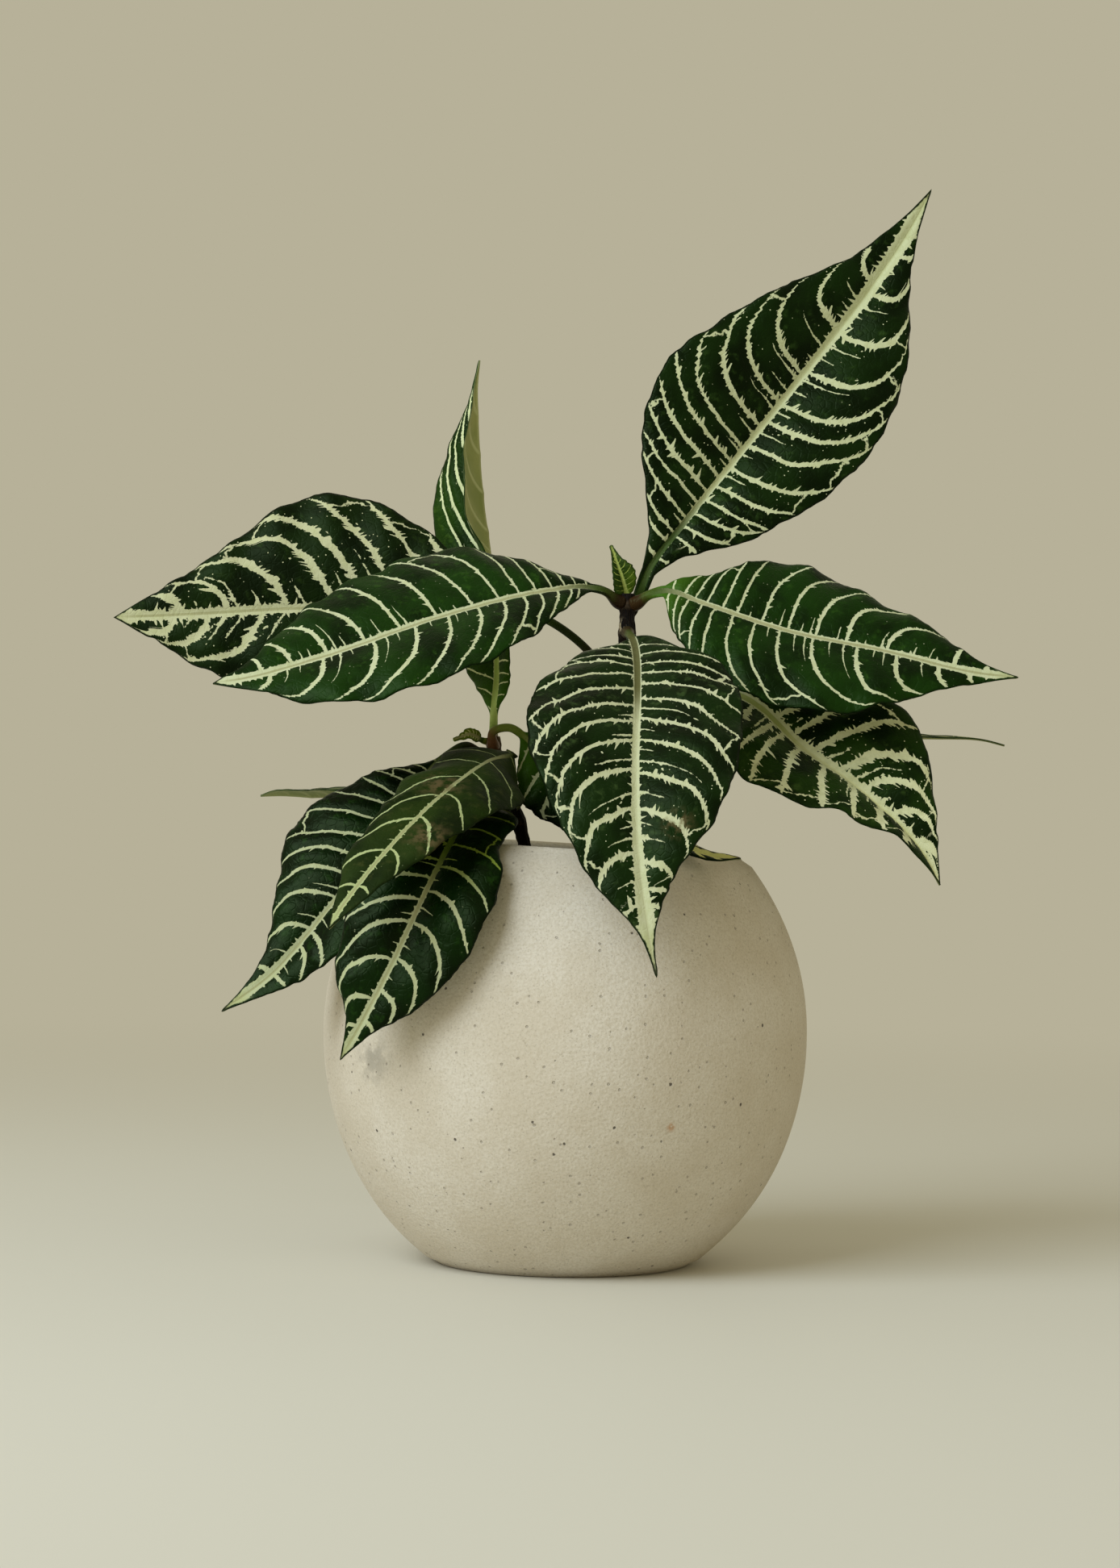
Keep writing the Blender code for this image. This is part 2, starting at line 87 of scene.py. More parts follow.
class Shade:
    """One socket of a material's nodes. Arithmetic on it adds Math nodes, and node() adds any other."""

    def __init__(self, tree, socket=None):
        self.tree = tree
        self.socket = socket

    def node(self, kind, settings=None, values=None, out=0):
        """Adds a node with its settings and the values or links of its inputs, and gives one output."""
        made = self.tree.nodes.new("ShaderNode" + kind)
        for name, value in (settings or {}).items():
            setattr(made, name, value)
        for name, value in (values or {}).items():
            if isinstance(value, Shade):
                self.tree.links.new(value.socket, made.inputs[name])
            else:
                made.inputs[name].default_value = value
        return Shade(self.tree, made.outputs[out])

    def maths(self, operation, *values):
        return self.node("Math", {"operation": operation}, dict(enumerate((self, *values))))

    def __add__(self, other):
        return self.maths("ADD", other)

    def __mul__(self, other):
        return self.maths("MULTIPLY", other)

    def __sub__(self, other):
        return self.maths("SUBTRACT", other)

    def __rsub__(self, other):
        return self * -1.0 + other

    def __truediv__(self, other):
        return self.maths("DIVIDE", other)

    def __pow__(self, other):
        return self.maths("POWER", other)

    def __abs__(self):
        return self.maths("ABSOLUTE")

    def least(self, other):
        return self.maths("MINIMUM", other)

    def most(self, other):
        return self.maths("MAXIMUM", other)

    def above(self, limit):
        """1 where this is more than the limit, else 0."""
        return self.maths("GREATER_THAN", limit)

    def rise(self, low, high):
        """0 below low, 1 above high, and smooth between. Low may be more than high."""
        return self.node("MapRange", {"interpolation_type": "SMOOTHSTEP"}, {"Value": self, 1: low, 2: high})

    def parts(self):
        """The three numbers of a vector."""
        split = self.node("SeparateXYZ", values={0: self})
        return [Shade(self.tree, output) for output in split.socket.node.outputs]

    def mix(self, first, second):
        """Two colours, shades or screen colours, mixed by this factor: the first at 0, the second at 1."""
        colours = {0: self}
        for slot, colour in ((6, first), (7, second)):
            colours[slot] = colour if isinstance(colour, Shade) else (*tint(*colour), 1.0)
        return self.node("Mix", {"data_type": "RGBA"}, colours, out=2)


class Finish(Shade):
    """A new material with its main shader. paint() sets what the shader shows."""

    def __init__(self, name):
        self.material = bpy.data.materials.new(name)
        self.material.use_nodes = True
        super().__init__(self.material.node_tree)
        self.shader = self.tree.nodes["Principled BSDF"]
        self.place = self.node("TexCoord", out=3)

    def noise(self, size, detail=3.0, place=None, roughness=0.5):
        """Soft noise from 0 to 1 with lumps of about a size in metres."""
        place = place or self.place
        values = {"Vector": place, "Scale": 1.0 / size, "Detail": detail, "Roughness": roughness}
        return self.node("TexNoise", values=values)

    def sway(self, size, detail, amount):
        """Soft noise about 0, at most half an amount to either side."""
        return (self.noise(size, detail) - 0.5) * amount

    def cells(self, size, feature="F1", out=0):
        """Distance to scattered points about a size in metres apart, in parts of that size."""
        values = {"Vector": self.place, "Scale": 1.0 / size}
        return self.node("TexVoronoi", {"feature": feature}, values, out)

    def dots(self, size, edge, core, limit, ragged=0.0):
        """Dots on the points whose random number is above a limit: full within core, gone past edge."""
        chosen = self.cells(size, out=1).parts()[0].above(limit)
        return (self.cells(size) + ragged).rise(edge, core) * chosen

    def stretched(self, scale):
        """The piece's own coordinates, scaled by three factors."""
        return self.node("Mapping", values={"Vector": self.place, "Scale": scale})

    def near(self, point, radius):
        """1 at a point in millimetres on the piece, falling to 0 at a radius in millimetres."""
        away = self.node("VectorMath", {"operation": "DISTANCE"},
                         {0: self.place, 1: [value * MM for value in point]}, out=1)
        return away.rise(radius * MM, 0.0)

    def attribute(self, name):
        """The three numbers of a named vector that the mesh holds at each point."""
        return self.node("Attribute", {"attribute_name": name}, out=1).parts()

    def bump(self, height, distance, strength=1.0):
        """A normal from a height pattern, whose full step is a distance in metres."""
        return self.node("Bump", values={"Height": height, "Distance": distance, "Strength": strength})

    def paint(self, **looks):
        """Sets or links the shader's sockets, named in lower case, and gives the material."""
        for name, value in looks.items():
            socket = self.shader.inputs[name.replace("_", " ").title().replace("Ior", "IOR")]
            if isinstance(value, Shade):
                self.tree.links.new(value.socket, socket)
            else:
                socket.default_value = (*value, 1.0) if isinstance(value, tuple) else value
        return self.material


def finished(name, work):
    """A bmesh made into a smooth object of the scene."""
    mesh = bpy.data.meshes.new(name)
    work.to_mesh(mesh)
    work.free()
    mesh.shade_smooth()
    return added(name, mesh)


backdrop = (*tint(*BACKDROP), 1.0)
world = bpy.data.worlds.new("backdrop")
world.use_nodes = True
world.node_tree.nodes["Background"].inputs["Color"].default_value = backdrop
world.node_tree.nodes["Background"].inputs["Strength"].default_value = 1.0
bpy.context.scene.world = world
bpy.context.scene.view_settings.view_transform = "Standard"

work = bmesh.new()
bmesh.ops.create_circle(work, cap_ends=True, segments=96, radius=FLOOR_RADIUS)
floor = finished("floor", work)
look = Finish("pale_floor")
away = look.node("VectorMath", {"operation": "LENGTH"}, {0: look.place}, out=1)
look.paint(base_color=tint(*FLOOR_COLOUR), roughness=0.6)
glow = look.node("Emission", values={"Color": backdrop})
blended = look.node("MixShader", values={0: away.rise(FLOOR_NEAR, FLOOR_FAR), 2: glow})
look.tree.links.new(look.shader.outputs[0], blended.socket.node.inputs[1])
look.tree.links.new(blended.socket, look.tree.nodes["Material Output"].inputs["Surface"])
floor.data.materials.append(look.material)

lamp = bpy.data.lights.new("window", "AREA")
lamp.size = LAMP_SIZE
lamp.energy = LAMP_POWER
lamp.color = LAMP_COLOUR
window = added("window", lamp)
window.location = LAMP_PLACE
window.rotation_euler = (LAMP_AIM - LAMP_PLACE).to_track_quat("-Z", "Y").to_euler()

# Pot. One piece of stoneware, cast as a bowl that is nearly a ball and cut flat at its base and its mouth,
# with rubbed edges. The body is pale and sandy, with pits, dark specks, one rust spot and a grey smudge.
POT_RADIUS = 104.8
POT_HALF_HEIGHT = 115.9
POT_MIDDLE_HEIGHT = 98.0
POT_HEIGHT = 177.5
POT_WALL = 9.0
POT_FLOOR = 12.0
POT_EDGE_ROUND = 3.0
MOUTH_SLOPE = 0.049
MOUTH_RISE = 2.8
MOUTH_SLOPE_FROM = 120.0
DENT_SCALE = 22.0
DENT_DEPTH = 0.35
DENTS_FROM = 6.0
POT_SIDES = 192
POT_ROWS = 84
INSIDE_ROWS = 30


def ball_radius(height, wall):
    """Radius at a height of the pot's outer face, or of one a wall's thickness inside it."""
    rise = (height - POT_MIDDLE_HEIGHT) / (POT_HALF_HEIGHT - wall)
    return (POT_RADIUS - wall) * math.sqrt(max(0.0, 1.0 - rise * rise))


def evenly(first, last, steps):
    """Evenly spaced values from the first to the last, both included."""
    return [first + (last - first) * step / steps for step in range(steps + 1)]


def arc(across, height, first, last, steps):
    """Points of a rounded edge of the profile about its centre, angles in degrees from +X."""
    angles = [math.radians(angle) for angle in evenly(first, last, steps)]
    return [(across + POT_EDGE_ROUND * math.cos(angle), height + POT_EDGE_ROUND * math.sin(angle))
            for angle in angles]


def spun(name, profile, sides, shift):
    """A piece turned from a profile of (radius, height) in millimetres, then shifted point by point."""
    work = bmesh.new()
    corners = [work.verts.new((radius * MM, 0.0, height * MM)) for radius, height in profile]
    edges = [work.edges.new(pair) for pair in zip(corners, corners[1:])]
    bmesh.ops.spin(work, geom=corners + edges, cent=(0, 0, 0), axis=(0, 0, 1), angle=math.tau, steps=sides,
                   use_merge=True, use_duplicate=False)
    bmesh.ops.remove_doubles(work, verts=work.verts, dist=0.000001)
    bmesh.ops.recalc_face_normals(work, faces=work.faces)
    for corner in work.verts:
        corner.co = shift(corner.co)
    return finished(name, work)


def pot_shape(point):
    """The sloped mouth and the slight unevenness of a hand-cast wall."""
    share = max(0.0, (point.z / MM - MOUTH_SLOPE_FROM) / (POT_HEIGHT - MOUTH_SLOPE_FROM))
    dent = noise.noise(point * DENT_SCALE) * DENT_DEPTH * MM
    outward = Vector((point.x, point.y, 0.0)).normalized() if point.xy.length > 0.02 else Vector()
    lift = (MOUTH_RISE * MM - MOUTH_SLOPE * point.x) * share * share
    level = min(max(point.z / (DENTS_FROM * MM), 0.0), 1.0)
    return point + outward * (dent - 0.1 * MM) * level + Vector((0.0, 0.0, lift))


low = POT_FLOOR + POT_EDGE_ROUND
rim_height = POT_HEIGHT - POT_EDGE_ROUND
inner = ball_radius(rim_height, POT_WALL)
lip = ball_radius(POT_HEIGHT, 0.0) - POT_EDGE_ROUND * 1.15
top = POT_HEIGHT - POT_EDGE_ROUND * 1.5
foot = ball_radius(0.0, 0.0)
profile = [(0.0, POT_FLOOR), (ball_radius(low, POT_WALL) - POT_EDGE_ROUND, POT_FLOOR)]
profile += [(ball_radius(height, POT_WALL), height) for height in evenly(low, rim_height, INSIDE_ROWS)]
profile += arc(inner + POT_EDGE_ROUND, rim_height, 170.0, 95.0, 6)
profile += arc(lip, rim_height, 90.0, 25.0, 7)
profile += [(ball_radius(height, 0.0), height) for height in evenly(top, POT_EDGE_ROUND, POT_ROWS)]
profile += [(foot + 0.2, 1.4), (foot - 1.0, 0.4), (foot - 2.6, 0.0), (0.0, 0.0)]
pot = spun("pot_stoneware", profile, POT_SIDES, pot_shape)

look = Finish("pale_stoneware")
mottle = look.noise(0.035, 4.0)
grain = look.noise(0.0011, 2.0)
sand = look.cells(0.0016)
dust = look.noise(0.012, 3.0).rise(0.5, 0.7)
body = mottle.rise(0.35, 0.65).mix((208, 197, 177), (217, 208, 191))
body = (grain.rise(0.3, 0.8) * 0.6).mix(body, (192, 180, 157))
body = (look.noise(0.0007, 3.0).rise(0.58, 0.7) * 0.4).mix(body, (146, 134, 112))
smudge = look.near((-78.0, -66.0, 92.0), 16.0) * look.noise(0.006).rise(0.36, 0.58)
body = (smudge * 0.7).mix(body, (142, 135, 120))
ragged = look.sway(0.0011, 3.0, 0.3)
pits = look.dots(0.0037, 0.17, 0.1, 0.6, ragged)
specks = look.dots(0.011, 0.07, 0.045, 0.4, ragged * 0.35)
body = (pits * 0.4).mix(body, (118, 106, 88))
body = (specks * 0.85).mix(body, (62, 54, 46))
rust = look.near((43.7, -91.0, 67.0), 3.0) * look.noise(0.0012).rise(0.3, 0.5) * 0.8
body = rust.mix(body, (176, 124, 72))
relief = grain * 0.35 + sand * 0.25 - pits * 1.2 - specks * 1.0 + look.noise(0.004, 2.0) * 0.3
pot.data.materials.append(look.paint(base_color=body, roughness=dust * 0.1 + 0.78, specular_ior_level=0.25,
                                     normal=look.bump(relief, 0.0005, 0.8)))
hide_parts("pot")
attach(pot, "root")

# Soil. Loose potting mix that fills the pot to a little below its rim: a crumbly mound with bark, fine fibre
# and a few white grains pressed into it.
SOIL_BELOW_RIM = 22.0
SOIL_MOUND = 3.0
SOIL_GAP = 0.4
SOIL_EDGE = 4.0
LUMP_HEIGHT = 1.5
SWELL_HEIGHT = 1.4
SOIL_SIDES = 144
SOIL_RINGS = 60
SOIL_WALL_ROWS = 12
CRUMBS = 420
CRUMB_SIZES = (0.9, 3.2)
GRAIN_EVERY = 12

surface = POT_HEIGHT - SOIL_BELOW_RIM
edge = ball_radius(surface, POT_WALL) - SOIL_GAP


def mound(share):
    """Height of the soil's upper face at a share of the way out."""
    return surface + SOIL_MOUND * (1.0 - share ** 2)


def soil_shape(point):
    """Lumps on the soil's upper face, which fade out at its edge."""
    if point.z < (surface - 1.0) * MM:
        return point
    inside = min(1.0, max(0.0, (edge * MM - point.xy.length) / (SOIL_EDGE * MM)))
    lumps = noise.fractal(point * 160.0, 0.8, 2.1, 4) * LUMP_HEIGHT + noise.noise(point * 40.0) * SWELL_HEIGHT
    return point + Vector((0.0, 0.0, lumps * inside * MM))


under = POT_FLOOR + SOIL_GAP
profile = [(edge * ring / SOIL_RINGS, mound(ring / SOIL_RINGS)) for ring in range(SOIL_RINGS + 1)]
profile += [(ball_radius(height, POT_WALL) - SOIL_GAP, height)
            for height in evenly(surface, low, SOIL_WALL_ROWS)[1:]]
profile += [(ball_radius(low, POT_WALL) - POT_EDGE_ROUND - SOIL_GAP, under), (0.0, under)]
soil = spun("soil_mound", profile, SOIL_SIDES, soil_shape)
work = bmesh.new()
chance = np.random.default_rng(7)
for number in range(CRUMBS):
    size = CRUMB_SIZES[0] + (CRUMB_SIZES[1] - CRUMB_SIZES[0]) * chance.random() ** 2.5
    away = (edge - SOIL_EDGE) * math.sqrt(chance.random())
    angle = chance.random() * math.tau
    place = Vector((away * math.cos(angle), away * math.sin(angle), mound(away / edge)))
    turn = Matrix.Rotation(chance.random() * math.tau, 4, Vector(chance.normal(size=3)).normalized())
    wide = 0.5 + 0.5 * chance.random()
    high = 0.35 + 0.4 * chance.random()
    shape = Matrix.Diagonal((size, size * wide, size * high, 1.0))
    placed = Matrix.Scale(MM, 4) @ Matrix.Translation(place) @ turn @ shape
    crumb = bmesh.ops.create_icosphere(work, subdivisions=1, radius=1.0)["verts"]
    for corner in crumb:
        corner.co *= 0.8 + 0.4 * chance.random()
    bmesh.ops.transform(work, matrix=placed, verts=crumb)
    for face in {face for corner in crumb for face in corner.link_faces}:
        face.material_index = 1 if number % GRAIN_EVERY else 2
crumbs = finished("soil_crumbs", work)
crumbs.data.shade_flat()


def soil_finish(name, dark, light, size):
    """Crumbly matter of two colours with lumps of about a size in metres, and fine fibre in it."""
    look = Finish(name)
    lumps = look.noise(size, 5.0, roughness=0.65)
    colour = lumps.rise(0.35, 0.68).mix(dark, light)
    fibre = look.noise(0.0009, 2.0).rise(0.62, 0.7)
    colour = (fibre * 0.6).mix(colour, (104, 82, 58))
    return look.paint(base_color=colour, roughness=lumps * 0.1 + 0.86, normal=look.bump(lumps, 0.0012))


soil.data.materials.append(soil_finish("potting_mix", (30, 22, 17), (66, 50, 38), 0.003))
crumbs.data.materials.append(soil_finish("soil_fines", (34, 25, 19), (70, 54, 40), 0.002))
crumbs.data.materials.append(soil_finish("bark_crumbs", (48, 34, 24), (98, 72, 48), 0.0015))
crumbs.data.materials.append(soil_finish("white_grains", (176, 170, 158), (214, 210, 200), 0.0012))
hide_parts("soil")
for piece in (soil, crumbs):
    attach(piece, "root")


# Stems. Two woody shoots with swollen joints where leaves grow or have dropped, dark brown, with lengthwise
# cracks, pale scars and, on the taller one, a patch of peeling bark near the top.
STEMS = {
    "stem_main": {
        "points": ((10, 6, 127), (15, 4, 160), (20, 1, 215), (23, 0, 250), (24.5, 0, 275), (24.5, 0, 290)),
        "radii": (4.0, 3.8, 3.4, 3.3, 3.2, 3.0),
        "joints": (176, 200, 224, 236, 248, 273, 285),
    },
    "stem_side": {
        "points": ((-12, 0, 127), (-15, 0, 160), (-20, 0, 185), (-27, 0, 207), (-32, 0, 219), (-33, 0, 227)),
        "radii": (2.8, 2.7, 2.6, 2.6, 2.8, 2.6),
        "joints": (172, 190, 210, 218, 224),
    },
}
STEM_SIDES = 40
ROWS_BETWEEN_POINTS = 44
BARK_THICKNESS = 0.1
JOINT_SWELL = 0.55
JOINT_REACH = 2.6
BARK_ROUGHNESS = 0.35
BARK_RIDGES = 9.0
RIDGE_HEIGHT = 0.12


def unit(vector):
    """The vector, made one long."""
    return vector / np.linalg.norm(vector)


def read(values, share):
    """A value at a share from 0 to 1 along evenly spaced ones, joined by a smooth curve."""
    row = np.asarray(values, float)
    place_on = min(max(share, 0.0), 1.0) * (len(row) - 1)
    first = min(int(place_on), len(row) - 2)
    along = place_on - first
    before = row[first - 1] if first > 0 else 2.0 * row[0] - row[1]
    after = row[first + 2] if first + 2 < len(row) else 2.0 * row[-1] - row[-2]
    start, end = row[first], row[first + 1]
    return 0.5 * (2.0 * start + (end - before) * along
                  + (2.0 * before - 5.0 * start + 4.0 * end - after) * along ** 2
                  + (3.0 * start - before - 3.0 * end + after) * along ** 3)


def smooth_path(points, steps):
    """A smooth curve through the points, with a number of steps between each two."""
    corners = np.asarray(points, float)
    spans = np.linalg.norm(np.diff(corners, axis=0), axis=1)
    slopes = np.gradient(corners, np.concatenate([[0.0], np.cumsum(spans)]), axis=0)
    path = [corners[0]]
    for first, span in enumerate(spans):
        for step in range(1, steps + 1):
            along = step / steps
            start = corners[first] * (2.0 * along ** 3 - 3.0 * along ** 2 + 1.0)
            end = corners[first + 1] * (3.0 * along ** 2 - 2.0 * along ** 3)
            leaving = slopes[first] * span * (along ** 3 - 2.0 * along ** 2 + along)
            arriving = slopes[first + 1] * span * (along ** 3 - along ** 2)
            path.append(start + end + leaving + arriving)
    return np.array(path)


def wrapped(name, rings, marks, split=None):
    """A closed skin from rings of points in millimetres, laid on a grid that is joined edge to edge.

    marks gives the named vectors that the finish reads at each point. Faces past split of each ring take the
    second finish.
    """
    rows, columns = rings.shape[0] - 1, rings.shape[1]
    work = bmesh.new()
    bmesh.ops.create_grid(work, x_segments=columns, y_segments=rows, size=1.0)
    layers = {mark: work.verts.layers.float_vector.new(mark) for mark in marks}
    for face in work.faces:
        if split is not None:
            face.material_index = int((face.calc_center_median().x + 1.0) / 2.0 * columns > split)
    for corner in work.verts:
        column = round((corner.co.x + 1.0) / 2.0 * columns) % columns
        row = round((corner.co.y + 1.0) / 2.0 * rows)
        for mark, layer in layers.items():
            corner[layer] = marks[mark][row, column]
        corner.co = rings[row, column] * MM
    bmesh.ops.remove_doubles(work, verts=work.verts, dist=0.0000005)
    bmesh.ops.holes_fill(work, edges=[edge for edge in work.edges if edge.is_boundary], sides=0)
    bmesh.ops.recalc_face_normals(work, faces=work.faces)
    return finished(name, work)


def bark_finish():
    """Dark streaked bark with pale scars, a fresh green end and a patch that peels."""
    look = Finish("stem_bark")
    streaks = look.noise(0.004, 4.0, look.stretched((9.0, 9.0, 1.0)))
    colour = streaks.rise(0.38, 0.75).mix((6, 4, 2), (32, 21, 10))
    blush = look.noise(0.02, 2.0).rise(0.45, 0.65)
    colour = (blush * 0.5).mix(colour, (24, 11, 6))
    fresh = look.near((-33.0, 0.0, 226.0), 14.0)
    colour = (fresh * 0.8).mix(colour, (104, 84, 50))
    scars = look.attribute("bark")[0] * look.noise(0.0022).rise(0.4, 0.6)
    colour = (scars * 0.3).mix(colour, (104, 86, 62))
    papery = look.near((21.5, -2.5, 276.0), 4.5) * look.noise(0.002, 3.0).rise(0.42, 0.55)
    colour = papery.mix(colour, (186, 170, 138))
    return look.paint(base_color=colour, roughness=streaks * 0.2 + 0.5, specular_ior_level=0.1,
                      normal=look.bump(streaks + scars * 0.4, 0.0006))


bark = bark_finish()
for name, stem in STEMS.items():
    path = smooth_path(stem["points"], ROWS_BETWEEN_POINTS)
    along = np.gradient(path, axis=0)
    along /= np.linalg.norm(along, axis=1)[:, None]
    rings = np.zeros((len(path), STEM_SIDES, 3))
    scars = np.zeros((len(path), STEM_SIDES, 3))
    for row, point in enumerate(path):
        radius = read(stem["radii"], row / (len(path) - 1)) + BARK_THICKNESS
        joint = min(abs(point[2] - height) for height in stem["joints"])
        swell = JOINT_SWELL * math.exp(-(joint / JOINT_REACH) ** 2)
        side = unit(np.cross(along[row], (0.0, 1.0, 0.0)))
        front = np.cross(along[row], side)
        for column in range(STEM_SIDES):
            angle = math.tau * column / STEM_SIDES
            outward = side * math.cos(angle) + front * math.sin(angle)
            rough = noise.noise(Vector(point + outward * 3.0) * 0.45) * BARK_ROUGHNESS
            twist = 2.0 * noise.noise(Vector(point) * 0.08)
            ridge = RIDGE_HEIGHT * math.sin(angle * BARK_RIDGES + twist)
            rings[row, column] = point + outward * (radius + swell + rough + ridge)
            scars[row, column] = (math.exp(-((joint - 0.8) / 0.9) ** 2), 0.0, 0.0)
    skin = wrapped(name + "_bark", rings, {"bark": scars})
    skin.data.materials.append(bark)
    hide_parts(name)
    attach(skin, "root")


# Leaves. Each is one thin waved blade with its petiole, joined to the stem by a slightly swollen base. Its
# midrib is sunken above and stands out below, and the blade is puckered up between the lateral veins.
PLAIN_VEINS = ((4, 8), (13, 20), (22, 31), (31, 42), (41, 53), (52, 64), (63, 74), (74, 83), (85, 90))
PLAIN_STREAKS = ((36, .3), (47, .35), (58, .3), (69, .3))

# Form. A leaf leaves its stem at a height, towards a heading in degrees, and blade_from is the share of its
# length that is petiole. spine is the midrib. left and right are the half widths at tenths of the blade, and
# turn_left and turn_right how far each half turns towards a viewer in front, in degrees. wave is the height
# and number of the margin's waves, wing the least half width at the blade's base, petiole its radius, pucker
# the height between veins, and rows the blade's rows of points.
# Veins. A lateral is (where it leaves the midrib, where it meets the margin) in hundredths of the blade, and
# a streak (where it leaves the midrib, how far out it reaches). bend is how much of a lateral curves, and the
# powers of the first and the last one's curve.
# Colour. midrib is the half width of the cream along it, groove the colour of the strip on it up to the share
# green_until, and ridge its colour past that. Veins are yellowish up to yellow_until, and the tip is pale
# from pale_from. The green is lighter and fresher near the base up to fresh_and_sheen_until; on leaf_right
# that lighter green is a painted sheen. cream takes the place of the look's own. stalk is the petiole's
# colour at the blade and at the stem, and under the dull, lit and vein colours below. A blemish is a brown
# patch: its place, radius and strength.
USUAL = dict(
    wing=0.4, petiole=1.8, bend=(0.6, 3.0, 3.0), pucker=0.8, rows=180,
    veins_left=PLAIN_VEINS, streaks_left=PLAIN_STREAKS, veins_right=PLAIN_VEINS, streaks_right=PLAIN_STREAKS,
    look="dark", midrib=(1.2, 1.2, 1.2), green_until=0.1, pale_from=0.97, yellow_until=None, fresh_and_sheen_until=None,
    groove=(54, 74, 22), ridge=(152, 149, 105), cream=None, stalk=((34, 42, 14), (42, 27, 15)),
    under=((98, 112, 56), (116, 128, 68), (152, 156, 100)), blemish=(),
)
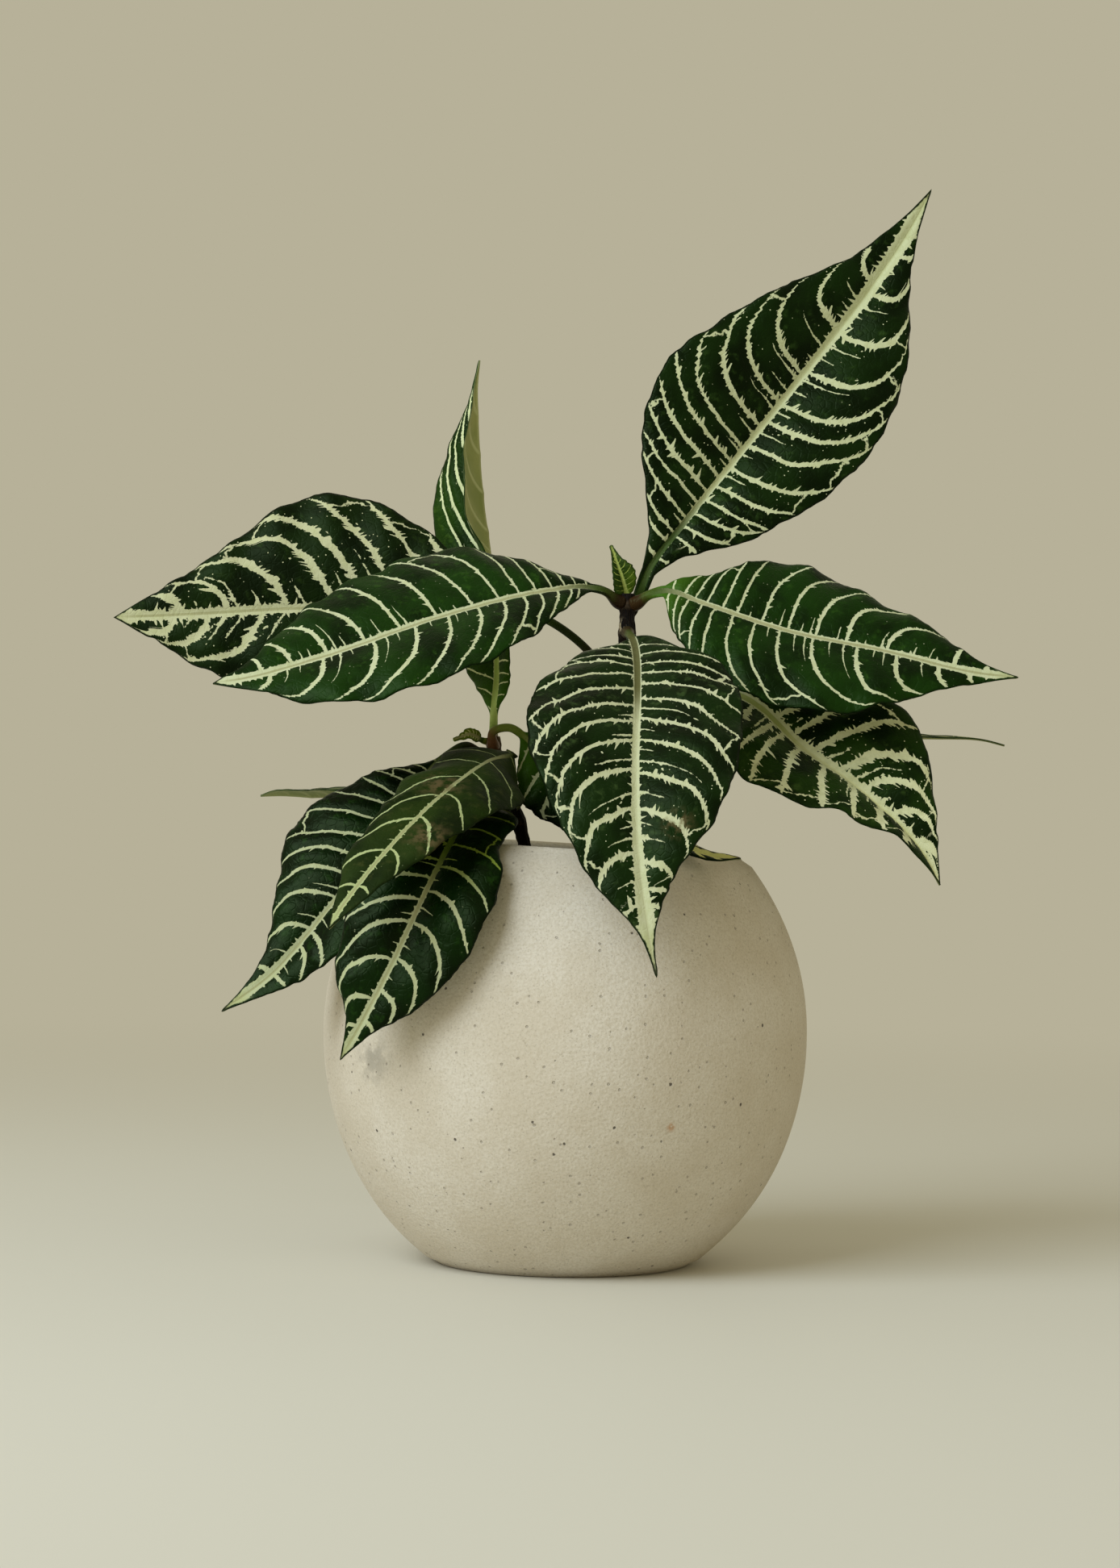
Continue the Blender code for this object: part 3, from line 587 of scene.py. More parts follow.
LEAVES = {
    "leaf_upper_right": dict(
        stem="stem_main", height=283, heading=60, blade_from=0.05, wave=(1.3, 7), bend=(0.9, 5.0, 2.8),
        spine=((35, 13, 303), (49, 20, 322), (77, 32, 358), (104, 42, 393), (134, 51, 433), (154, 57, 465),
            (160, 59, 477)),
        left=(9, 32, 48, 52, 46, 38, 27, 15, 7), right=(9, 26, 37, 44, 46, 42, 32, 16, 5),
        turn_left=(8, 15, 8), turn_right=(8, 12, 8), wing=3.2, petiole=2.2,
        veins_left=((8, 8.5), (11.2, 12.3), (13.5, 15.3), (17.4, 20.5), (21.2, 23.8), (24.1, 28),
            (27.9, 32.8), (31.8, 38.5), (35.2, 45), (40.8, 53.5), (47, 60.5), (54.4, 67.5), (65.7, 75.5),
            (78, 82)),
        streaks_left=((16, .3), (20, .15), (30.5, .15), (34.5, .22), (39, .24), (45.3, .42), (50, .3),
            (53, .5), (58, .15), (61.2, .58), (64, .12), (70, .3), (73, .55), (75.5, .12)),
        veins_right=((8, 8), (13, 13), (15.7, 17.3), (19, 23), (22.6, 24.3), (26.1, 29.7), (30.6, 37.5),
            (36.6, 48), (42.7, 54), (47.2, 61), (55.4, 69.5), (65.4, 75), (75.8, 81), (85, 86.5)),
        streaks_right=((29, .35), (34.5, .18), (40, .35), (45.3, .2), (50.5, .2), (53.5, .55), (59, .22),
            (62.3, .45), (70, .2), (72.3, .55), (80.5, .4)),
        midrib=(1.0, 1.4, 1.6, 2.2, 3.4, 4.0), green_until=0.2, pale_from=0.93,
        groove=(48, 70, 20), ridge=(182, 184, 136), stalk=((36, 48, 14), (30, 20, 9)),
        blemish=(((123.5, 48.0, 413.0), 1.3, 1.6), ((115.0, 44.0, 387.0), 6.0, 0.5)),
    ),
    "leaf_right": dict(
        stem="stem_main", height=285.5, heading=-10, blade_from=0.08, wave=(1.3, 6), bend=(0.85, 4.8, 2.4),
        spine=((33, -3, 289), (41, -7, 291), (56, -12, 286), (93, -17, 274), (133, -22, 266),
            (178, -28, 256), (191, -29, 255)),
        left=(17, 31, 40, 41, 36, 29, 23, 15, 6), right=(19, 34, 39, 41, 40, 36, 26, 14, 5),
        turn_left=(-32, -42, -30), turn_right=(30, 38, 30), wing=3.0, petiole=2.2,
        veins_left=((4.2, 4.0), (7.3, 8.3), (10.6, 11.3), (14, 15.7), (18.7, 19.2), (22.9, 25), (29.4, 37),
            (36.8, 45), (44.5, 55), (52.7, 65), (64, 78), (82.2, 83.7), (91, 91.5)),
        streaks_left=((26, .1), (34.5, .25), (40.5, .15), (43, .25), (50.5, .22), (58, .12), (62.5, .38),
            (71.5, .25), (75.5, .42)),
        veins_right=((3.5, 5.5), (6.5, 10), (9.4, 12), (13.1, 15.4), (16.9, 20), (22.1, 31), (28.3, 38),
            (35.2, 49), (44, 62), (56.2, 69), (67.2, 76), (78.8, 82.3), (87.2, 88.5)),
        streaks_right=((32.2, .22), (39.3, .33), (42, .45), (49, .3), (52.7, .6), (61, .2), (63.7, .35),
            (71, .15), (74, .55), (82, .2)),
        look="fresh", midrib=(1.2, 1.3, 1.3, 1.3, 1.8, 2.2), green_until=0.06, pale_from=0.93,
        # The lighter green at this leaf's base is a painted sheen, where its glossy base catches the light.
        fresh_and_sheen_until=0.14, stalk=((70, 84, 30), (52, 33, 17)),
    ),
    "leaf_left": dict(
        stem="stem_main", height=286, heading=185, blade_from=0.07, wave=(1.3, 7), bend=(0.75, 3.2, 2.6),
        spine=((16, -4, 290), (7, -10, 292), (-8, -20, 290), (-55, -40, 277), (-103, -55, 259),
            (-137, -62, 249), (-149, -63, 247)),
        left=(9, 20, 30, 36, 39, 38, 33, 24, 9), right=(13, 32, 44, 46, 45, 42, 34, 23, 10),
        turn_left=(44, 48, 38), turn_right=(-44, -48, -36), wing=2.6, petiole=2.2,
        veins_left=((6.5, 9.5), (8.7, 14), (12.8, 19.3), (17.5, 24.3), (21.8, 31.5), (27.4, 40),
            (33.7, 47.5), (41.7, 56.5), (50.4, 67.5), (61, 74), (73.6, 84.5), (86.4, 89.5)),
        streaks_left=((31.5, .15), (37, .2), (39.8, .28), (46.5, .2), (55, .25), (57.8, .56), (66.5, .2),
            (69.5, .7), (71.5, .2), (79.5, .3), (82.5, .55)),
        veins_right=((3.7, 3.8), (6.8, 6.4), (9.9, 9.4), (13.5, 14.9), (18, 18.4), (22.4, 24.5),
            (27.9, 34.3), (34.7, 44.5), (43.8, 49.8), (53.3, 60), (62.2, 72), (72, 78.3), (80.8, 85),
            (88.5, 90)),
        streaks_right=((39, .1), (42.3, .12), (51.7, .35), (58.2, .25), (67.2, .22), (69.5, .55), (76, .25),
            (78, .25)),
        look="fresh", midrib=(1.4, 1.6, 1.7, 1.8, 1.9, 2.4), green_until=0.08, pale_from=0.97,
        stalk=((50, 46, 20), (34, 18, 10)),
    ),
    "leaf_front": dict(
        stem="stem_main", height=273, heading=-85, blade_from=0.07, wave=(1.5, 7), bend=(0.42, 4.0, 4.0),
        spine=((27, -24, 268), (28, -42, 260), (28, -66, 243), (27, -98, 212), (28, -115, 181),
            (32, -123, 151), (36, -126, 130)),
        left=(18, 36, 43, 44, 43, 38, 28, 13, 3.2), right=(20, 32, 42, 46, 44, 37, 28, 18, 4.4),
        turn_left=(4, 8, 5), turn_right=(4, 8, 5), wing=2.4,
        veins_left=((8, 13), (13, 19), (17.7, 24), (21.2, 27.5), (25.3, 36), (30.2, 45), (37.2, 53),
            (44, 60.5), (53.7, 67), (62.5, 75), (75, 79.5), (81, 82), (85, 86)),
        streaks_left=((33.9, .62), (41, .2), (47, .2), (50.3, .72), (58.9, .35), (66, .25), (69, .5),
            (78, .3)),
        veins_right=((7.2, 7), (11, 12), (15.2, 17.3), (18.5, 19.5), (22, 31.5), (27, 42), (32.5, 49.5),
            (38, 56), (44.3, 62), (52.3, 68), (62.4, 75), (72.8, 79.5), (83, 85)),
        streaks_right=((36.5, .2), (43, .25), (50, .45), (59, .65), (66.5, .25), (69.2, .5), (76, .2),
            (79, .6)),
        look="linked", midrib=(1.9, 1.8, 1.7, 1.8, 2.8, 4.5), green_until=0.34, pale_from=0.88,
        groove=(84, 82, 42), ridge=(182, 182, 142), stalk=((66, 82, 36), (60, 48, 28)),
        blemish=(((44.0, -115.4, 191.5), 9.0, 0.9),),
    ),
    "leaf_far_left": dict(
        stem="stem_main", height=249, heading=150, blade_from=0.2, wave=(1.6, 8), bend=(0.45, 3.0, 3.0),
        spine=((14, 7, 258), (5, 9, 268), (-13, 11, 280), (-59, 12, 284), (-124, 11, 282), (-165, 8, 279),
            (-199, 5, 277)),
        left=(12, 22, 31, 37, 41, 40, 34, 25, 12), right=(12, 22, 37, 48, 52, 47, 34, 22, 11),
        turn_left=(6, 10, 5), turn_right=(-10, -12, -8),
        veins_left=((2, 3), (10, 14), (18, 26), (26, 38), (35, 50), (45, 62), (55, 74), (65, 83),
            (77.5, 89.5), (86, 92.3)),
        streaks_left=((60, .4), (70.3, .4), (73.7, .52), (82, .3)),
        veins_right=((3, 5), (10, 16), (17, 27), (24, 39), (33, 52), (41, 63), (48.5, 71.5), (59.5, 79),
            (73, 86.5), (84.3, 91.5)),
        streaks_right=((29, .3), (37, .5), (44.5, .3), (55.5, .28), (64.5, .25), (70.8, .68), (80, .3),
            (89, .3)),
        look="feathered", midrib=(1.9, 2.0, 2.0, 2.1, 2.2, 2.6), green_until=0.05, pale_from=0.96,
    ),
    "leaf_low_right": dict(
        stem="stem_main", height=246, heading=15, blade_from=0.13, wave=(1.5, 6), bend=(0.4, 2.5, 2.5),
        spine=((36, 4, 250), (45, 5, 252), (59, 2, 251), (78, -4, 244), (99, -13, 225), (125, -20, 206),
            (151, -26, 180), (159, -28, 166)),
        left=(10, 18, 28, 34, 39, 42, 34, 21, 8), right=(15, 27, 32, 37, 36, 31, 24, 15, 8),
        turn_left=(-50, -20, -8), turn_right=(20, 50, 76),
        veins_left=((3, 3), (10, 11), (18, 20), (25, 28), (32, 36), (39, 46), (46.5, 63), (56, 76),
            (64.5, 84), (75.5, 89), (86.5, 93)),
        streaks_left=((36, .3), (43.5, .2), (51, .3), (60.5, .55), (71, .2), (81, .15)),
        veins_right=((3, 3), (9, 9), (17, 18), (26, 28), (33.2, 35), (36.8, 42), (43.8, 49.5), (52.3, 60.5),
            (62.5, 69), (72, 78), (82, 85)),
        streaks_right=((30.9, .5), (48.5, .2), (58, .3), (60.8, .6), (67, .4), (77, .4)),
        # Its look, groove and ridge are lighter than the leaf's own colours: painted light against the
        # leaves' shadow.
        look="feathered_painted_light", midrib=(1.8, 2.3, 2.7, 2.6, 2.1, 1.6), green_until=0.4, pale_from=0.985,
        groove=(178, 186, 112), ridge=(214, 214, 160),
    ),
    "leaf_back_right": dict(
        stem="stem_main", height=224, heading=40, blade_from=0.2, wave=(0.6, 4), rows=90,
        spine=((36, 10, 226), (51, 20, 229), (88, 34, 231), (124, 44, 231), (161, 52, 230), (188, 57, 229),
            (196, 58, 227)),
        left=(8, 14, 18, 19, 18, 15, 11, 6, 2), right=(8, 14, 18, 19, 18, 15, 11, 6, 2),
        turn_left=(-80, -84, -84), turn_right=(80, 88, 88),
        look="plain",
    ),
    "leaf_rim_right": dict(
        stem="stem_main", height=236, heading=-80, blade_from=0.3, wave=(0.5, 3), rows=90,
        spine=((27, -15, 231), (33, -32, 216), (40, -46, 198), (49, -56, 182), (60, -62, 177.5),
            (72, -65, 177)),
        left=(4, 7, 9, 10, 9, 7.5, 5.2, 4.2, 3.6), right=(4, 7, 9, 10, 10, 9, 7.2, 5.6, 4.2),
        turn_left=(-30, -56, -62), turn_right=(30, 60, 76),
        look="glossy", midrib=(1.2, 1.6, 2.0, 2.2, 2.2, 1.8),
        # ridge and cream are lighter than the leaf's own: painted light on a leaf in the shadow of
        # leaf_front.
        ridge=(222, 216, 134), cream=(226, 222, 140),
    ),
    "leaf_upright": dict(
        stem="stem_side", height=225, heading=95, blade_from=0.06, wave=(1.0, 5), bend=(0.25, 2.5, 2.5),
        spine=((-33, 8, 232), (-33, 15, 240), (-32, 28, 254), (-33, 42, 276), (-36, 51, 305), (-40, 55, 333),
            (-43, 57, 370), (-43.5, 57, 385), (-42.5, 57, 397)),
        left=(7, 15, 21, 24, 26, 26, 22, 14, 4), right=(6, 9, 14, 20, 24, 25, 22, 14, 5),
        turn_left=(-15, -22, -20), turn_right=(10, 100, 114),
        veins_left=((3, 6), (8.5, 13), (14.5, 20), (21, 29), (30, 44), (40, 72), (48, 80), (58.5, 87),
            (71, 91), (81, 93.5)),
        streaks_left=((54, .2), (65, .25), (76, .2)),
        veins_right=((4, 4), (9, 8.5), (12.9, 12.4), (16.8, 14.4), (20.4, 18), (28, 30), (37, 43), (46, 56),
            (56, 68), (66, 78), (76, 85), (86, 91)),
        streaks_right=((33, .3), (51, .3)),
        # Its groove and its look's cream are lighter than its own colours: painted light that lifts the shade
        # on it.
        look="lit", midrib=(1.2, 1.6, 1.6, 1.2, 1.2, 1.4), green_until=0.3, pale_from=0.97, fresh_and_sheen_until=0.3,
        groove=(176, 196, 104), stalk=((66, 106, 24), (104, 80, 48)),
        # These lighter underside colours are painted light: the glow of the backlit upper half of the leaf.
        under=((136, 146, 78), (156, 160, 94), (184, 188, 130)),
    ),
    "leaf_side_front": dict(
        stem="stem_side", height=217.5, heading=-50, blade_from=0.07, wave=(1.0, 5), bend=(0.5, 2.5, 2.5),
        spine=((-25, -16, 219), (-33, -42, 217), (-43, -66, 210), (-62, -98, 192), (-78, -117, 173),
            (-91, -129, 155), (-95, -132, 148)),
        left=(22, 24, 25, 24, 22, 20, 17, 12, 7), right=(20, 24, 25, 27, 23, 20, 18, 15, 7),
        turn_left=(0, 30, 40), turn_right=(-78, -50, -35),
        veins_left=((7, 10), (19.8, 35), (32.5, 46.5), (46.7, 57.5), (59.6, 70.5), (72.6, 80), (86.2, 88.4)),
        streaks_left=((67, .15), (80, .28), (92, .3)),
        veins_right=((5, 6), (14.6, 16.5), (24.7, 22.2), (36.2, 55), (47.8, 65), (60.8, 73), (73.5, 83),
            (86.3, 89)),
        streaks_right=((69.4, .18), (82, .25), (91.5, .2)),
        look="dull", midrib=(0.6, 0.7, 0.8, 0.9, 1.1, 1.4), green_until=0.1, pale_from=0.96,
        blemish=(((-57.0, -110.0, 185.6), 13.0, 0.8), ((-53.0, -76.0, 206.0), 15.0, 0.8)),
    ),
    "leaf_side_low": dict(
        stem="stem_side", height=210, heading=-110, blade_from=0.16, wave=(1.2, 6), bend=(0.75, 2.8, 2.8),
        spine=((-34, -30, 206), (-41, -54, 196), (-47, -72, 185), (-58, -92, 162), (-70, -98, 135),
            (-82, -98, 111), (-92, -95, 93)),
        left=(14, 23, 20, 27, 30, 29, 25, 17, 6), right=(12, 18, 23, 26, 27, 28, 26, 21, 7),
        turn_left=(24, 24, 12), turn_right=(-15, -20, -12),
        veins_left=((7, 8), (14, 15), (21, 22.5), (27.5, 28.5), (34.2, 39.8), (42.4, 50.5), (50.2, 60.5),
            (59.3, 71.5), (69.4, 80), (78.4, 85), (87.2, 89.3)),
        streaks_left=((40, .3), (47, .15), (55.3, .3), (66, .22), (74.7, .2)),
        veins_right=((5, 6), (12, 14), (20, 24), (27, 32), (34, 41), (40.5, 49), (46.5, 56), (53.3, 64.5),
            (59.5, 77), (70.5, 84), (81.7, 87.7), (90, 91.5)),
        streaks_right=((42.4, .3), (50, .12), (57.5, .22), (66, .15)),
        look="glossy", midrib=(0.9, 1.0, 1.1, 1.2, 1.5, 2.2), green_until=0.44, pale_from=0.94,
        yellow_until=0.48, groove=(92, 112, 38),
    ),
    "leaf_side_left": dict(
        stem="stem_side", height=219, heading=200, blade_from=0.14, wave=(1.2, 6), bend=(0.6, 3.0, 3.0),
        spine=((-44, -6, 223), (-52, -14, 219), (-62, -24, 209), (-86, -44, 173), (-105, -52, 147),
            (-123, -56, 126), (-144, -58, 110)),
        left=(14, 20, 26, 29, 28, 26, 20, 12, 5), right=(9, 24, 34, 38, 36, 28, 19, 10, 4),
        turn_left=(40, 45, 30), turn_right=(-20, -25, -15),
        veins_left=((6, 6), (13, 14), (20, 23), (28, 33), (36, 44), (45, 54), (56, 65), (66.8, 72.8),
            (71.8, 79), (82.6, 82.3)),
        streaks_left=((50, .4), (62.7, .4), (76.5, .3), (79, .6)),
        veins_right=((5, 5), (9, 9.5), (12, 13.8), (15.5, 16.7), (20.9, 19.7), (24.4, 26.5), (29.6, 35.5),
            (35.3, 47), (41.7, 54), (47.6, 61), (55.3, 69), (66.3, 76.5), (83, 84)),
        streaks_right=((53, .4), (63, .4), (72.5, .2), (75.7, .75)),
        look="glossy", midrib=(1.0, 1.1, 1.2, 1.4, 2.2, 2.8), green_until=0.1, pale_from=0.9,
    ),
    "leaf_side_right": dict(
        stem="stem_side", height=223, heading=-100, blade_from=0.25, wave=(0.8, 4), rows=120,
        spine=((-33, -7, 229), (-26, -9, 231), (-18, -10, 226), (-5, -13, 211), (5, -16, 193),
            (14, -18, 179)),
        left=(7, 13, 17, 20, 20, 17, 12, 8, 3), right=(7, 13, 17, 20, 20, 17, 12, 8, 3),
        turn_left=(-10, -15, -10), turn_right=(10, 15, 10),
        veins_left=((10, 18), (28, 40), (46, 60), (64, 76), (82, 90)),
        streaks_left=((37, .3), (55, .3)),
        veins_right=((12, 22), (30, 44), (48, 64), (66, 79), (84, 91)),
        streaks_right=((39, .3), (57, .3)),
        look="glossy", midrib=(0.8, 1.0, 1.1, 1.1), fresh_and_sheen_until=0.6,
        groove=(104, 122, 44), stalk=((116, 130, 56), (112, 76, 50)),
    ),
    "leaf_side_back": dict(
        stem="stem_side", height=211, heading=110, blade_from=0.3, wave=(0.3, 2), rows=90,
        spine=((-48, 20, 213), (-70, 42, 205), (-92, 58, 202), (-115, 70, 200), (-130, 76, 200.5),
            (-140, 79, 200)),
        left=(8, 14, 18, 19, 18, 16, 12, 9, 7), right=(8, 14, 18, 19, 18, 15, 11, 6, 2),
        turn_left=(72, 98, 110), turn_right=(-90, -90, -88),
        look="plain",
        under=((112, 122, 66), (128, 136, 80), (134, 140, 86)),
    ),
    "young_leaf_top": dict(
        stem="stem_main", height=288, heading=None, blade_from=0.06, wave=(0.7, 3), rows=90, pucker=0.25,
        spine=((22.4, -2, 296), (19.5, -2, 304), (17, 0, 311)),
        left=(5.0, 5.3, 5.0, 4.5, 3.8, 3.0, 2.2, 1.5, 0.9),
        right=(3.2, 5.0, 6.1, 6.5, 6.2, 4.7, 2.9, 1.9, 1.2),
        turn_left=(15, 20, 15), turn_right=(10, 15, 10), petiole=1.3,
        look="young", midrib=(0.6, 0.5, 0.4),
        groove=(120, 132, 44), ridge=(150, 160, 84),
    ),
    "young_leaf_side": dict(
        stem="stem_side", height=225, heading=175, blade_from=0.2, wave=(0.3, 3), rows=60, pucker=0.15,
        spine=((-40, -2, 227), (-43, -4, 228), (-46, -6, 227), (-50, -8, 225.5)),
        left=(2, 3, 3, 3, 3, 2, 2, 1, 1), right=(2, 3, 3, 3, 3, 2, 2, 1, 1),
        turn_left=(40, 40, 30), turn_right=(-20, -20, -20), petiole=1.0,
        look="bud", midrib=(0.5, 0.7, 0.4),
        stalk=((110, 124, 44), (104, 80, 46)),
        under=((128, 142, 52), (146, 156, 66), (184, 188, 112)),
    ),
}
FULL_REACH = 0.99
MARGIN_AT = 0.93
SPACE_BEFORE = 9.0
SPACE_AFTER = 15.0
BLADE_HALF_THICKNESS = 0.35
BLADE_ARCH = 0.07
GROOVE_DEPTH = 0.75
RIDGE_IN_GROOVE = 0.35
MIDRIB_DEPTH = 1.3
VEIN_DEPTH = 0.25
MARGIN_DROOP = 0.6
MARGIN_SCALLOP = 0.35
MARGIN_WEAR = 0.6
GROWN_WIDTH = 22.0
WORN_WIDTH = 12.0
NECK_LENGTH = 3.0
ROOT_SINK = 1.2
TIP_ROUND = 0.9
PETIOLE_ROWS = 6
PATH_STEPS = 16
UPPER_COLUMNS = 34
LOWER_COLUMNS = 14
NEAREST_COLUMN = 0.012
RIM_FROM = 0.94


def stem_at(name, height):
    """A stem's axis point, radius and direction at a height, in millimetres."""
    path = smooth_path(STEMS[name]["points"], 12)
    radii = [read(STEMS[name]["radii"], step / (len(path) - 1)) for step in range(len(path))]
    low, point, high = (np.array([np.interp(height + step, path[:, 2], path[:, axis]) for axis in range(3)])
                        for step in (-1.0, 0.0, 1.0))
    return point, float(np.interp(height, path[:, 2], radii)), unit(high - low)


def leaf_path(leaf):
    """The midrib from inside the stem to the tip, finely divided, with its running length."""
    axis, radius, upward = stem_at(leaf["stem"], leaf["height"])
    if leaf["heading"] is None:
        outward = upward
        root = axis - outward * ROOT_SINK
    else:
        heading = math.radians(leaf["heading"])
        level = np.array([math.cos(heading), math.sin(heading), 0.0])
        outward = unit(level - upward * np.dot(level, upward))
        root = axis + outward * (radius - ROOT_SINK)
    neck = root + unit(outward * 0.7 + unit(np.array(leaf["spine"][0]) - root)) * NECK_LENGTH
    path = smooth_path([tuple(root), tuple(neck), *leaf["spine"]], PATH_STEPS)
    lengths = np.linalg.norm(np.diff(path, axis=0), axis=1)
    return path, np.concatenate([[0.0], np.cumsum(lengths)])


def smooth_step(value):
    """0 below 0, 1 above 1, and smooth between."""
    value = np.clip(value, 0.0, 1.0)
    return value * value * (3.0 - 2.0 * value)


def leaf_row(leaf, path, run, share):
    """Centre, direction, place on the blade, and each half's width, outward and upward direction."""
    length = share * run[-1]
    step = min(run[-1] * 0.02, length + 1.0)
    centre, ahead, behind = (np.array([np.interp(length + move, run, path[:, axis]) for axis in range(3)])
                             for move in (0.0, step, -step))
    along = unit(ahead - behind)
    across = unit(np.array([-along[2], 0.0, along[0]]))
    nearer = unit(np.cross(along, across))
    place = (share - leaf["blade_from"]) / (1.0 - leaf["blade_from"])
    wing = leaf["wing"] * smooth_step((place + 0.1) / 0.1) * smooth_step((0.2 - place) / 0.1)
    tip = TIP_ROUND * math.sqrt(max(0.0, min(1.0, (1.0 - place) / 0.02)))
    sides = []
    for side, sign in (("left", 1.0), ("right", -1.0)):
        width = read((0.0, *leaf[side], 0.0), place) if place > 0.0 else 0.0
        turn = math.radians(read(leaf["turn_" + side], place))
        outward = across * sign * math.cos(turn) + nearer * math.sin(turn)
        upward = np.cross(along, outward) * sign
        sides.append((max(width, wing, tip), outward, upward))
    return centre, along, place, sides


def vein_lines(leaf, side):
    """All laterals of one half in order, as rows of (start, end, reach), with a blank one past each end."""
    veins = [(start, end, 1.0) for start, end in leaf["veins_" + side]]
    starts, ends = ([vein[number] for vein in veins] for number in (0, 1))
    for start, reach in leaf["streaks_" + side]:
        veins.append((start, float(np.interp(start, starts, ends)), reach))
    first, *rest = sorted(veins)
    last = rest[-1]
    before = (first[0] - SPACE_BEFORE, first[1] - SPACE_BEFORE, 0.0)
    return np.array([before, first, *rest, (last[0] + SPACE_AFTER, last[1] + SPACE_AFTER, 0.0)])


def vein_number(leaf, lines, places, reaches):
    """Each point's number among the laterals: whole on a vein and between two numbers beside it."""
    bend, first, last = leaf["bend"]
    power = first + (last - first) * np.clip(lines[:, 0] / 90.0, 0.0, 1.0)
    numbers = np.arange(len(lines), dtype=float)
    found = np.zeros((len(places), len(reaches)))
    for column, out in enumerate(reaches / MARGIN_AT):
        at = lines[:, 0] + (lines[:, 1] - lines[:, 0]) * ((1.0 - bend) * out + bend * out ** power)
        at = np.maximum.accumulate(at + numbers * 1e-6)
        found[:, column] = np.interp(places * 100.0, at, numbers)
    return found


def pitch_of(points, number):
    """Millimetres from one lateral to the next at each point, measured across them on the blade."""
    down, out = np.gradient(points, axis=0), np.gradient(points, axis=1)
    number_down, number_out = np.gradient(number, axis=0), np.gradient(number, axis=1)
    a, b, c = ((first * second).sum(axis=2) for first, second in ((down, down), (down, out), (out, out)))
    slope = c * number_down ** 2 - 2.0 * b * number_down * number_out + a * number_out ** 2
    return 1.0 / np.sqrt(np.clip(slope / np.maximum(a * c - b * b, 1e-9), 1e-4, 4.0))


def half_face(name, leaf, rows, side, face, reaches, length):
    """Points and marks of one half of the upper face (face 1) or of the lower one (face -1)."""
    which, sign = (0, 1.0) if side == "left" else (1, -1.0)
    centre, along, place = (np.array([row[part] for row in rows]) for part in range(3))
    width, outward, upward = (np.array([row[3][which][part] for row in rows]) for part in range(3))
    reach = reaches[None, :]
    lines = vein_lines(leaf, side)
    number = vein_number(leaf, lines, place, reaches)
    laterals = lines[lines[:, 2] > FULL_REACH]
    crest = vein_number(leaf, laterals, place, reaches)
    grown = np.clip(width / GROWN_WIDTH, 0.0, 1.0)[:, None]

    seed = float(sum(map(ord, name)) % 97)
    worn = np.array([noise.noise(Vector((spot * 26.0, sign * 3.0, seed)))
                     + 0.6 * noise.noise(Vector((spot * 75.0, sign, seed))) for spot in place])
    edge = vein_number(leaf, laterals, place, np.array([MARGIN_AT]))[:, 0]
    uneven = MARGIN_SCALLOP * np.cos(math.tau * edge) + MARGIN_WEAR * worn - MARGIN_SCALLOP
    width = width + uneven * np.clip(width / WORN_WIDTH, 0.0, 1.0)
    out = width[:, None] * reach
    height, waves = leaf["wave"]
    wave = height * np.sin(math.tau * waves * place + (0.0 if sign > 0.0 else 2.0))[:, None]
    cushion = grown * np.sin(math.pi * reach) ** 0.6 * (0.5 - 0.5 * np.cos(math.tau * crest)) ** 0.7
    lift = BLADE_ARCH * width[:, None] * np.sin(math.pi * reach) + wave * reach ** 2 * grown
    lift = lift + leaf["pucker"] * cushion - MARGIN_DROOP * reach ** 7 * grown
    blade = centre[:, None, :] + outward[:, None, :] * out[:, :, None]
    blade = blade + upward[:, None, :] * lift[:, :, None]

    thick = BLADE_HALF_THICKNESS * np.sqrt(np.clip((1.0 - reach) / 0.05, 0.0, 1.0))
    young = (1.0 - 0.8 * np.clip(place, 0.0, 1.0))[:, None]
    if face > 0.0:
        groove = RIDGE_IN_GROOVE * np.exp(-(out / 0.7) ** 2) - GROOVE_DEPTH * np.exp(-(out / 1.7) ** 2)
        thick = thick + groove * young
    else:
        thick = thick + MIDRIB_DEPTH * np.exp(-(out / 1.5) ** 2) * young
        thick = thick + VEIN_DEPTH * grown * (0.5 + 0.5 * np.cos(math.tau * crest)) ** 8
    skin = blade + upward[:, None, :] * (thick * face)[:, :, None]

    top = np.array([unit(row[3][0][2] + row[3][1][2]) for row in rows])
    beside = np.cross(top, along) * sign
    angle = math.pi / 2.0 * (1.0 - reach)[:, :, None]
    run = (place - place[0]) * length
    plump = leaf["petiole"] * (1.0 + 0.65 * np.exp(-(run / 4.5) ** 2))
    stalk = centre[:, None, :] + plump[:, None, None] * (beside[:, None, :] * np.cos(angle)
                                                         + top[:, None, :] * face * np.sin(angle))
    early = 0.06 if leaf["wing"] > USUAL["wing"] else 0.0
    leafy = smooth_step((place + early) / 0.1)[:, None, None]

    nearest = np.rint(number).astype(int)
    limit = lines[nearest, 2]
    share = reach / np.maximum(limit, 0.01)
    streak = 0.5 * np.clip(1.0 - share, 0.0, 1.0) ** 0.6
    swell = 0.72 * np.sin(math.pi * reach ** 0.8) * np.clip(place / 0.6, 0.1, 1.0)[:, None] ** 1.3
    full = (0.48 + swell) * np.sqrt(np.clip((1.03 - reach) / 0.15, 0.0, 1.0))
    half_width = np.where(limit > FULL_REACH, full, streak)
    half_width = np.where((share > 1.0) | (limit < 0.01), -1.0, half_width)
    begin = np.interp(number, np.arange(len(lines)), lines[:, 0])
    vein_run = np.hypot(out, (place[:, None] - begin / 100.0) * length)
    middle = np.array([read(leaf["midrib"], spot) for spot in place])[:, None]
    every = np.ones_like(number)
    marks = {"vein": (number, pitch_of(blade, number), vein_run),
             "place": (place[:, None] * every, out * sign, place[:, None] * length * every),
             "band": (width[:, None] * (1.0 - reach), half_width, middle * every),
             "loop": (np.where((crest > 0.0) & (crest < crest.max()), crest, -1.0), every, every)}
    return stalk + (skin - stalk) * leafy, {mark: np.stack(values, axis=2) for mark, values in marks.items()}


